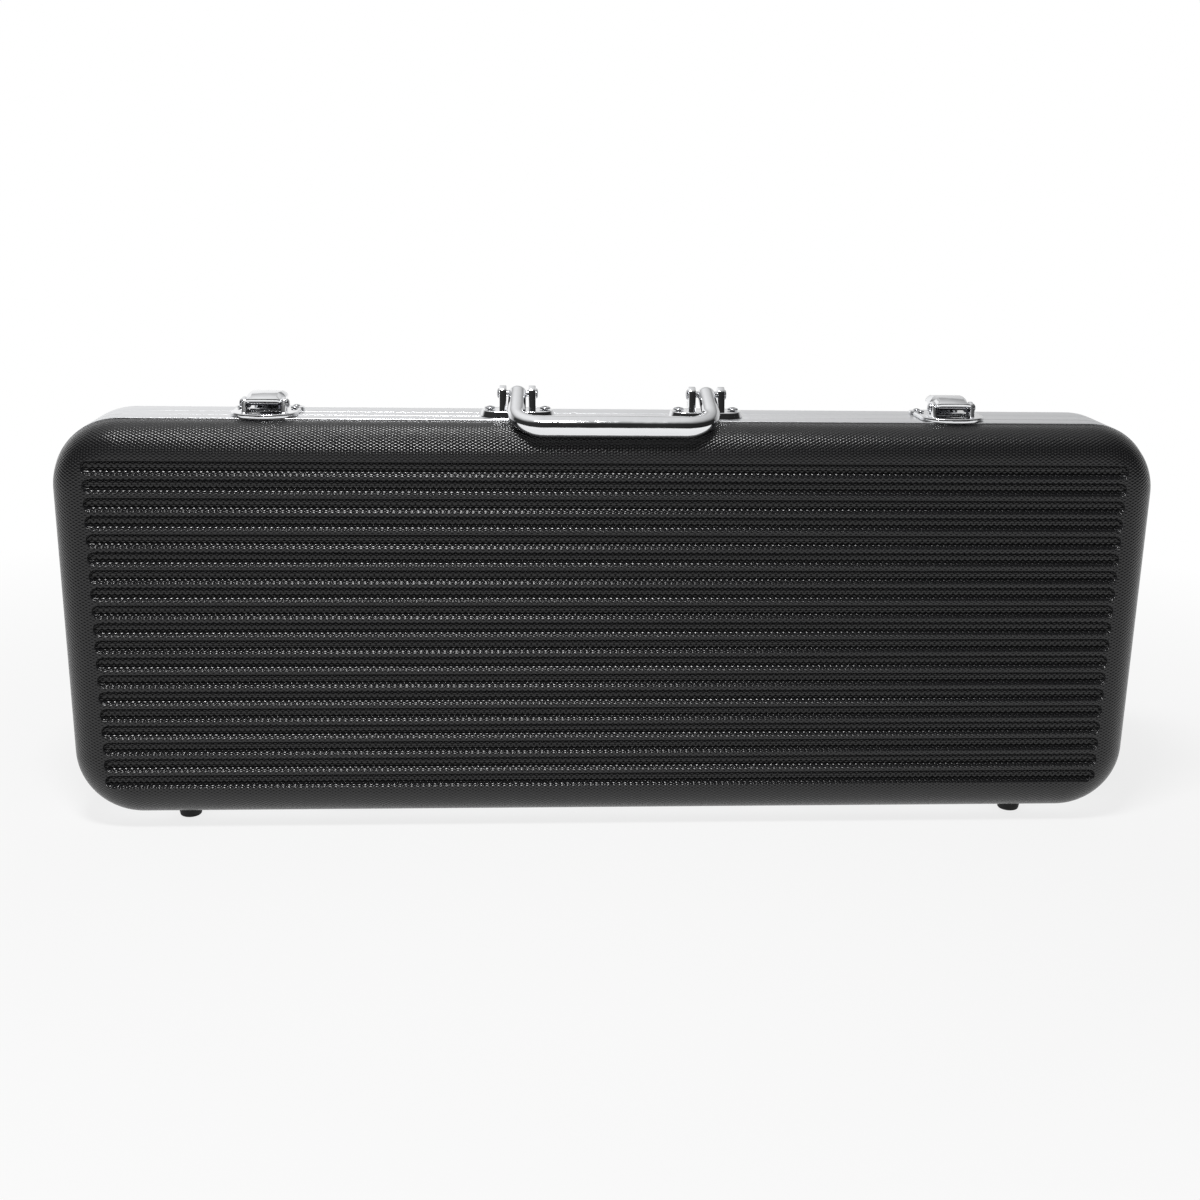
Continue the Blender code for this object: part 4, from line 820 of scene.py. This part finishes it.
# %% The latch's base
def add_latch_plate(bm, x):
    """A plate with a half elliptical rolled front and a window."""
    disc = bmesh.ops.create_circle(bm, cap_ends=True, segments=64, radius=1.0)["verts"]
    place = Matrix.Translation((x, LATCH_SIDE, LATCH_LOW))
    place @= Matrix.Diagonal((LATCH_HALF, LATCH_FRONT_REACH, 1, 1))
    bmesh.ops.transform(bm, matrix=place, verts=disc)
    cut(bm, [(Y_AXIS, LATCH_SIDE)], clear_outer=True)
    chord = [edge for edge in bm.edges if all(abs(vert.co.y - LATCH_SIDE) < MERGE for vert in edge.verts)]
    back = extrude_edges(bm, chord)[0]
    bmesh.ops.translate(bm, verts=back, vec=(0, LATCH_BACK - LATCH_SIDE, 0))
    bmesh.ops.dissolve_faces(bm, faces=bm.faces[:])
    cut(bm, [(X_AXIS, x - WINDOW_HALF), (X_AXIS, x + WINDOW_HALF), (Y_AXIS, WINDOW_FRONT),
             (Y_AXIS, WINDOW_BACK)])
    window = [face for face in bm.faces if abs(face.calc_center_median().x - x) < WINDOW_HALF
              and WINDOW_FRONT < face.calc_center_median().y < WINDOW_BACK]
    bmesh.ops.delete(bm, geom=window, context="FACES")
    extrude_faces(bm, bm.faces[:], (0, 0, LATCH_TOP - LATCH_LOW))
    bmesh.ops.recalc_face_normals(bm, faces=bm.faces)
    round_edges(bm, top_rim(bm, LATCH_TOP), LATCH_ROLL, 4)


for side_name, side in SIDES.items():
    pin = LEVER_PIN + Vector((side * LATCH_X, 0.0, 0.0))
    bm = bmesh.new()
    add_latch_plate(bm, pin.x)
    add_ears(bm, pin, WINDOW_HALF, LATCH_EAR, LATCH_TOP, radius=0.0032, foot=0.0125)
    dress("latch_base_" + side_name, "pressed", bm, "base", chrome)
    # Painted shade: a dark block under the window stands for the shadow that the lever casts into the latch
    bm = bmesh.new()
    well_half = WINDOW_HALF + WELL_MARGIN
    add_box(bm, (pin.x - well_half, WINDOW_FRONT - WELL_MARGIN, CASE_HEIGHT + 0.00005),
            (pin.x + well_half, WINDOW_BACK + WELL_MARGIN, LATCH_LOW + 0.0003))
    round_edges(bm, sharp_edges(bm), 0.0001, 1)
    add_piece("latch_shade_well_" + side_name, bm, "base", painted_shade_steel)
    bm = bmesh.new()
    add_pin(bm, pin, WINDOW_HALF + LATCH_EAR + GAP, radius=0.0012, head_radius=0.0023, head_height=0.0015)
    dress("lever_pin_" + side_name, "turned", bm, "base", zinc)

# %% The lever's cover
LEVER_HALF = 0.0084
LEVER_SHOULDER = 0.0014
LEVER_WALL = 0.0012
LEVER_RISE = 0.0027
LEVER_RIM = CASE_HEIGHT + 0.0110 - LEVER_RISE
LEVER_FRONT = -0.0050
LEVER_BACK = 0.0190
LEVER_BREAK = 0.0003
SIDE_FLANGE = 0.0044
END_FLANGE = 0.0013
# Across the cover, from rim to rim: share of the half width, share of the rise
COVER = ((-1.0, 0.0), (-0.90, 0.55), (-0.76, 0.96), (0.0, 1.0), (0.76, 0.96), (0.90, 0.55), (1.0, 0.0))
# Along the cover: place from the pin, share of the shoulder's width, share of the rise
COVER_STATIONS = (
    (LEVER_FRONT, 0.20, 0.16), (LEVER_FRONT * 0.62, 0.20, 0.42), (LEVER_FRONT * 0.45, 0.0, 0.54),
    (LEVER_BACK * 0.14, 0.0, 0.94), (LEVER_BACK * 0.23, 0.20, 1.0), (LEVER_BACK * 0.31, 1.0, 1.0),
    (LEVER_BACK * 0.46, 1.0, 1.0), (LEVER_BACK * 0.56, 1.0, 0.98), (LEVER_BACK * 0.80, 0.90, 0.78),
    (LEVER_BACK * 0.93, 0.30, 0.50), (LEVER_BACK, -0.90, 0.20))


def make_lever(name, x):
    """Pressed sheet: a bent line extruded along the lever, with flanges down both sides."""
    bm = bmesh.new()
    verts = [bm.verts.new((across, 0.0, rise)) for across, rise in COVER]
    edges = [bm.edges.new(pair) for pair in zip(verts, verts[1:])]
    stations = [Matrix.Translation((x, LEVER_PIN.y + place, LEVER_RIM))
                @ Matrix.Diagonal((LEVER_HALF + LEVER_SHOULDER * width, 1, LEVER_RISE * rise, 1))
                for place, width, rise in COVER_STATIONS]
    sweep(bm, verts, edges, stations)
    # The long rims go down past the pins, and the front and back rims only turn down
    for vert in extrude_edges(bm, [edge for edge in bm.edges if edge.is_boundary])[0]:
        away = vert.co.y - LEVER_PIN.y
        deep = SIDE_FLANGE if LEVER_FRONT * 0.46 < away < LEVER_BACK * 0.5 else END_FLANGE
        vert.co.z -= min(deep, vert.co.z - (LEVER_RIM - deep))
    face_out(bm, 2)
    bmesh.ops.solidify(bm, geom=bm.faces[:], thickness=LEVER_WALL)
    bmesh.ops.recalc_face_normals(bm, faces=bm.faces)
    round_edges(bm, sharp_edges(bm, 25), LEVER_BREAK, 2)
    dress(name, "cover", bm, name, chrome, crease=30)


for side_name, side in SIDES.items():
    make_lever("lever_" + side_name, side * LATCH_X)

# %% [markdown]
# ## Copies of solid parts
# Claws, catches and hinge leaves are simple pressings whose solid shape is already right except for its
# knife edges. A solid part's mesh is left alone, so each is copied: the copy's loose triangles are merged,
# flat neighbours become one face again, and the corners are rounded.

# %% Round the edges of a copy
def add_rounded_copy(name, body, finish, size=0.0002):
    """A copy of a solid part with its corners rounded."""
    bm = bmesh.new()
    bm.from_mesh(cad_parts[name].data)
    bmesh.ops.remove_doubles(bm, verts=bm.verts, dist=0.00001)
    bmesh.ops.dissolve_limit(bm, angle_limit=radians(2), verts=bm.verts, edges=bm.edges)
    bmesh.ops.translate(bm, verts=bm.verts, vec=-ORIGIN)
    round_edges(bm, sharp_edges(bm, 50), size, 2)
    dress(name, "pressed", bm, body, finish)


for side_name in SIDES:
    add_rounded_copy("catch_" + side_name, "lid", chrome)
    add_rounded_copy("claw_" + side_name, "claw_" + side_name, zinc, 0.00015)
    for half_name in HALVES:
        add_rounded_copy(f"hinge_{half_name}_leaf_{side_name}", half_name, zinc)

# %% [markdown]
# ## Pins and feet
# The hinge pins and the claws' pins are plain rod with a small chamfer at each end. The feet are rubber,
# turned here from their section: slightly tapered, a soft lower edge, and a well for the screw.

# %% Rods
for side_name in SIDES:
    for name, body in (("hinge_pin_" + side_name, "base"), ("claw_pin_" + side_name, "lever_" + side_name)):
        low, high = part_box(name)
        half_length, radius = (high.x - low.x) / 2, (high.z - low.z) / 2
        chamfer = radius / 3
        end = [(half_length - chamfer, radius), (half_length, radius - chamfer), (half_length, 0.0)]
        bm = bmesh.new()
        add_turned(bm, [(-along, away) for along, away in reversed(end)] + end,
                   (low + high) / 2 - ORIGIN, X_AXIS, 24)
        dress(name, "rod", bm, body, zinc)

# %% Feet
FOOT_LOW_ROUND = 0.0009
FOOT_TAPER = 0.0008
FOOT_BREAK = 0.0004
WELL_RADIUS = 0.0033
WELL_HEIGHT = 0.0030
SCREW_HOLE = 0.0018
for half_name in HALVES:
    for side_name in SIDES:
        name = f"{half_name}_foot_{side_name}"
        low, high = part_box(name)
        middle = (low + high) / 2 - ORIGIN
        radius, height = (high.x - low.x) / 2, high.z - low.z
        profile = [(WELL_HEIGHT, SCREW_HOLE), (WELL_HEIGHT, WELL_RADIUS), (FOOT_BREAK, WELL_RADIUS),
                   (0.0, WELL_RADIUS + FOOT_BREAK)]
        profile += reversed(round_corner(0.0, radius - FOOT_TAPER, FOOT_LOW_ROUND, -1, 5))
        profile += [(height - FOOT_BREAK, radius), (height, radius - FOOT_BREAK), (height, SCREW_HOLE),
                    (WELL_HEIGHT, SCREW_HOLE)]
        bm = bmesh.new()
        add_turned(bm, profile, (middle.x, middle.y, low.z - ORIGIN.z), Z_AXIS, 40)
        dress(name, "moulded", bm, half_name, rubber, crease=50)

# %% [markdown]
# ## Screws and rivets
# Each screw and rivet shows a domed head. It is turned on the lathe, and a screw's cross is cut into it and
# pushed down. Heads on the hinges and feet look downwards, so those are turned over.

# %% Make the fasteners
HEAD_HEIGHT = 0.0012
SLOT_SHARE = 0.13
CROSS_SHARE = 0.52
CROSS_FLOOR = 0.35
CROSS_TURN = radians(25)
FASTENERS = (("handle_screw", "base", True), ("latch_rivet", "base", False), ("catch_screw", "lid", True),
             ("hinge_base_rivet", "base", False), ("hinge_lid_rivet", "lid", False))


def press_cross(bm, radius, height):
    """Push a cross down into a head."""
    wide, long = radius * SLOT_SHARE, radius * CROSS_SHARE
    head = [face for face in bm.faces if face.calc_center_median().z > height * 0.5]
    planes = [(axis, away) for axis in (X_AXIS, Y_AXIS) for away in (-long, -wide, wide, long)]
    cross = []
    for item in cut(bm, planes, with_edges(head)):
        if isinstance(item, bmesh.types.BMFace):
            near, far = sorted(abs(c) for c in item.calc_center_median()[:2])
            if near < wide and far < long:
                cross.append(item)
    for vert in extrude_faces(bm, cross, (0, 0, 0), hollow=True):
        vert.co.z = height * CROSS_FLOOR


def add_fastener(name, body, drive):
    """A domed head in the place of a fastener, with a cross recess if it is driven."""
    low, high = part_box(name)
    radius = (high.x - low.x) / 2
    height = min((high.z - low.z) * 0.5, HEAD_HEIGHT)
    bottom = low.z - high.z + height
    profile = [(bottom, 0.0), (bottom, radius / 2), (0.0, radius / 2), (0.0, radius)]
    profile += [(height * (0.25 + 0.75 * sin(turn)), radius * cos(turn)) for turn in quarter(7)]
    bm = bmesh.new()
    add_turned(bm, profile, (0, 0, 0), Z_AXIS)
    if drive:
        press_cross(bm, radius, height)
    under = name.startswith("hinge") or "foot" in name
    seat = (low + high) / 2
    seat.z = low.z + height if under else high.z - height
    turned = Matrix.Rotation(CROSS_TURN, 4, "Z") @ Matrix.Rotation(pi if under else 0.0, 4, "X")
    bmesh.ops.transform(bm, verts=bm.verts, matrix=Matrix.Translation(seat - ORIGIN) @ turned)
    dress(name, "head", bm, body, zinc, crease=50)


for one in SIDES:
    for half_name in HALVES:
        add_fastener(f"{half_name}_foot_screw_{one}", half_name, True)
    for other in SIDES:
        for kind, body, drive in FASTENERS:
            add_fastener(f"{kind}_{one}_{other}", body, drive)

# %% [markdown]
# ## The trays
# The base holds three trays of flocked sheet: two with five half round channels for rows of chips, and one
# with two wells for cards and a slot for dice. Vacuum forming starts with one flat sheet, and so does this:
# it is scored where a channel or well begins, those panels are cut out or pushed down, the rims are
# rounded, and then the sheet gets its thickness.

# %% Sizes of the trays
TRAY_FACE = -0.0092
TRAY_WALL = 0.0012
TRAY_INSET = 0.0054
CHANNEL_RADIUS = 0.0200
CHANNEL_LOW = 0.0235
CHANNEL_HIGH = CASE_HEIGHT - CHANNEL_LOW
CHANNEL_PITCH = 0.0414
CHANNELS = 5
CHANNEL_RIM = 0.0005
ACCESSORY_HALF = 0.0590
CHANNEL_STEPS = 24


def add_tray_sheet(bm, low_x, high_x):
    """A flat sheet that fills the base frame between two upright lines."""
    add_round_case(bm, [(TRAY_INSET, TRAY_FACE)], steps=12)
    bmesh.ops.contextual_create(bm, geom=bm.edges[:])
    cut(bm, [(X_AXIS, low_x)], clear_inner=True)
    cut(bm, [(X_AXIS, high_x)], clear_outer=True)


def add_tray(name, bm, rim):
    """Face the sheet to the chips, round its rims, and give it its thickness."""
    face_out(bm, 1)
    round_edges(bm, sharp_edges(bm, 50), rim, 3)
    bmesh.ops.dissolve_degenerate(bm, edges=bm.edges, dist=MERGE)
    bmesh.ops.solidify(bm, geom=bm.faces[:], thickness=TRAY_WALL)
    dress(name, "flocked", bm, "base", flock, crease=50)


# %% The chip trays
for side_name, side in SIDES.items():
    start = ACCESSORY_HALF + GAP + TRAY_WALL + CHANNEL_RADIUS
    middles = [side * (start + i * CHANNEL_PITCH) for i in range(CHANNELS)]
    bm = bmesh.new()
    add_tray_sheet(bm, *sorted((side * (ACCESSORY_HALF + GAP / 2), side * CASE_WIDTH / 2)))
    cut(bm, [(X_AXIS, middle + edge) for middle in middles for edge in (-CHANNEL_RADIUS, CHANNEL_RADIUS)])
    cut(bm, [(Z_AXIS, CHANNEL_LOW), (Z_AXIS, CHANNEL_HIGH)])
    panels = [face for face in bm.faces if CHANNEL_LOW < face.calc_center_median().z < CHANNEL_HIGH
              and any(abs(face.calc_center_median().x - middle) < CHANNEL_RADIUS / 2 for middle in middles)]
    bmesh.ops.delete(bm, geom=panels, context="FACES")
    for middle in middles:
        before = set(bm.edges)
        point = bm.verts.new((middle - CHANNEL_RADIUS, TRAY_FACE, CHANNEL_LOW))
        bmesh.ops.spin(bm, geom=[point], cent=(middle, TRAY_FACE, CHANNEL_LOW), axis=Z_AXIS, angle=pi,
                       steps=CHANNEL_STEPS)
        arc = [edge for edge in bm.edges if edge not in before]
        far, far_arc = extrude_edges(bm, arc)
        bmesh.ops.translate(bm, verts=far, vec=(0, 0, CHANNEL_HIGH - CHANNEL_LOW))
        for end in (arc, far_arc):
            bmesh.ops.contextual_create(bm, geom=end)
    add_tray("chip_tray_" + side_name, bm, CHANNEL_RIM)

# %% The tray for cards and dice
WELL_HALF = 0.0460
WELL_DEPTH = 0.0190
WELL_RIM = 0.0012
WELLS = ((0.0240, 0.0900), (0.0950, 0.1150), (0.1200, 0.1860))
bm = bmesh.new()
add_tray_sheet(bm, GAP / 2 - ACCESSORY_HALF, ACCESSORY_HALF - GAP / 2)
cut(bm, [(X_AXIS, -WELL_HALF), (X_AXIS, WELL_HALF)] + [(Z_AXIS, end) for well in WELLS for end in well])
floors = [face for face in bm.faces if abs(face.calc_center_median().x) < WELL_HALF
          and any(low < face.calc_center_median().z < high for low, high in WELLS)]
for floor in floors:
    extrude_faces(bm, [floor], (0, -WELL_DEPTH, 0), hollow=True)
add_tray("accessory_tray", bm, WELL_RIM)

# %% [markdown]
# ## The lid's pad
# A slab of soft foam wrapped in velvet presses on the chips when the lid is shut. Foam swells a little
# between its glued edges, so a plain rounded block is remeshed evenly and Blender's cloth blows it up from
# inside for twenty frames, with no gravity. The swelling is capped, to stay in the lid, and smoothed once.

# %% Sizes of the pad
PAD_INSET = SHELL_INSET + SHELL_EDGE_RADIUS + 0.0005
PAD_BACK = SHELL_FLOOR - GAP
PAD_FRONT = PAD_BACK - 0.0180
PAD_ROUND = 0.0040
PAD_SWELL = 0.0022
PAD_ROOM = PAD_SWELL + 0.0006
PAD_VOXEL = 0.0055
PAD_FRAMES = 20


# %% Swell the pad
def swell(pad):
    """Blow a block up by cloth simulation, and cap how far each point moves."""
    rest = [vert.co.copy() for vert in pad.data.vertices]
    cloth = pad.modifiers.new("cloth", "CLOTH")
    cloth.settings.use_pressure = True
    cloth.settings.uniform_pressure_force = 4.0
    cloth.settings.effector_weights.gravity = 0.0
    scene = bpy.context.scene
    for number in range(1, PAD_FRAMES + 1):
        scene.frame_set(number)
    swollen = pad.evaluated_get(bpy.context.evaluated_depsgraph_get()).to_mesh()
    moved = [vert.co.copy() for vert in swollen.vertices]
    pad.modifiers.remove(cloth)
    scene.frame_set(1)
    for vert, start, end in zip(pad.data.vertices, rest, moved):
        move = end - start
        vert.co = start + move * min(1.0, PAD_SWELL / max(move.length, MERGE))


bm = bmesh.new()
profile = round_corner(PAD_INSET + PAD_ROOM, PAD_FRONT + PAD_ROOM, PAD_ROUND, 1, 4)
profile += reversed(round_corner(PAD_INSET + PAD_ROOM, PAD_BACK - PAD_ROOM, PAD_ROUND, -1, 4))
add_round_case(bm, profile, steps=10)
close_ends(bm)
pad = dress("lid_pad", "velvet", bm, "lid", velvet)
bpy.context.view_layer.objects.active = pad
remesh = pad.modifiers.new("even", "REMESH")
remesh.mode = "VOXEL"
remesh.voxel_size = PAD_VOXEL
bpy.ops.object.modifier_apply(modifier=remesh.name)
swell(pad)
smooth = pad.modifiers.new("smooth", "SUBSURF")
smooth.levels = smooth.render_levels = 1
bpy.ops.object.modifier_apply(modifier=smooth.name)
pad.data.shade_smooth()
print("pad:", len(pad.data.polygons), "faces")

# %% [markdown]
# ## Floor, light and white room
# The case is photographed on white. The floor is plain white paper and keeps the case's soft shadow. Where
# the camera or a mirror sees it, it also glows: four fifths of white by the case, which thins the shadow,
# and fully from three quarters of a metre away, so that it runs into the white behind it without a seam.
# A studio lights black gloss and chrome with a softbox overhead, which each dome mirrors as a tiny glint.

# %% The floor
NEAR_GLOW = 0.80
WHITE = (1.0, 1.0, 1.0, 1.0)
NEAR = 0.30
FAR = 0.75
bm = bmesh.new()
bmesh.ops.create_grid(bm, x_segments=1, y_segments=1, size=6.0)
mesh = bpy.data.meshes.new("floor")
bm.to_mesh(mesh)
bm.free()
paper, tree, shader, place = new_finish("matt_white_paper", None, Base_Color=colour("#F4F4F4"), Roughness=0.9)
away = add_node(tree, "VectorMath", {0: place}, operation="LENGTH").outputs["Value"]
share = add_node(tree, "MapRange", {"Value": away, "From Min": NEAR, "From Max": FAR, "To Min": NEAR_GLOW})
rays = add_node(tree, "LightPath").outputs
seen = add_node(tree, "Math", {0: rays["Is Camera Ray"], 1: rays["Is Glossy Ray"]}, operation="MAXIMUM")
seen = add_node(tree, "Math", {0: seen, 1: rays["Is Transmission Ray"]}, operation="MAXIMUM")
share = add_node(tree, "Math", {0: seen, 1: share}, operation="MULTIPLY")
both = add_node(tree, "MixShader", {0: share, 1: shader, 2: add_node(tree, "Emission", {"Color": WHITE})})
give(tree.nodes["Material Output"], {"Surface": both})
mesh.materials.append(paper)
thing = bpy.data.objects.new("floor", mesh)
bpy.context.collection.objects.link(thing)
thing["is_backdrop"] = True

# %% [markdown]
# Behind the case stands the white paper that the camera sees, and metal shows it too. Overhead the white
# ceiling is dimmer, and in front is the dark room where the photographer stands. Chrome owes its dark lines
# to that room. The camera and glass always see the white, and the soft fill comes evenly from everywhere.

# %% The white room
FILL = 0.18
CEILING = 0.95
CEILING_LEAN = 0.28
ROOM = 0.03
RIGHT_SHARE = 0.62
world = bpy.data.worlds.new("white_room")
bpy.context.scene.world = world
world.use_nodes = True
tree = world.node_tree
tree.nodes.clear()
direction = add_node(tree, "SeparateXYZ", {"Vector": add_node(tree, "TexCoord").outputs["Generated"]})
sideways, backwards, upwards = direction.outputs
# The ceiling starts lower behind the case than over the photographer
lean = add_node(tree, "Math", {0: backwards, 1: CEILING_LEAN, 2: upwards}, operation="MULTIPLY_ADD")
ceiling = add_node(tree, "MapRange", {
    "Value": lean, "From Min": 0.48, "From Max": 0.98, "To Min": ROOM, "To Max": CEILING},
    interpolation_type="SMOOTHSTEP")
behind = add_node(tree, "MapRange", {"Value": backwards, "From Min": 0.2, "From Max": 0.6})
low = add_node(tree, "MapRange", {
    "Value": upwards, "From Min": 0.42, "From Max": 0.57, "To Min": 1.0, "To Max": 0.0})
paper = add_node(tree, "Math", {0: behind, 1: low}, operation="MULTIPLY")
mirrored = add_node(tree, "Math", {0: paper, 1: ceiling}, operation="MAXIMUM")
# The room's window is on the left, so what metal mirrors gets greyer to the right
side_light = add_node(tree, "MapRange", {
    "Value": sideways, "From Min": -0.2, "From Max": 0.4, "To Min": 1.0, "To Max": RIGHT_SHARE})
mirrored = add_node(tree, "Math", {0: mirrored, 1: side_light}, operation="MULTIPLY")
rays = add_node(tree, "LightPath").outputs
seen = add_node(tree, "Math", {0: rays["Is Camera Ray"], 1: rays["Is Transmission Ray"]}, operation="MAXIMUM")
bounced = add_node(tree, "Mix", {0: rays["Is Glossy Ray"], 2: FILL, 3: mirrored}, data_type="FLOAT")
strength = add_node(tree, "Mix", {0: seen, 2: bounced, 3: 1.0}, data_type="FLOAT")
shine = add_node(tree, "Background", {"Color": WHITE, "Strength": strength})
add_node(tree, "OutputWorld", {"Surface": shine})
print("nodes of the white room:", len(tree.nodes))

# %% The softbox
LAMP_PLACE = Vector((-0.15, -0.40, 1.05))
LAMP_TARGET = Vector((0.0, 0.0, 0.15))
LAMP_WIDE = 0.15
LAMP_LONG = 0.30
LAMP_RADIANCE = 54.0
lamp = bpy.data.lights.new("softbox", "AREA")
lamp.shape = "RECTANGLE"
lamp.size = LAMP_LONG
lamp.size_y = LAMP_WIDE
lamp.energy = LAMP_RADIANCE * pi * LAMP_WIDE * LAMP_LONG
softbox = bpy.data.objects.new("softbox", lamp)
bpy.context.collection.objects.link(softbox)
aim = (LAMP_TARGET - LAMP_PLACE).to_track_quat("-Z", "Y")
softbox.matrix_world = Matrix.Translation(LAMP_PLACE) @ aim.to_matrix().to_4x4()
print(f"softbox: {lamp.energy:.1f} W")

# %% Show it as it is
bpy.context.scene.view_settings.view_transform = "Standard"
low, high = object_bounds()
print("visual size in mm:", [round((b - a) * 1000, 1) for a, b in zip(low, high)])
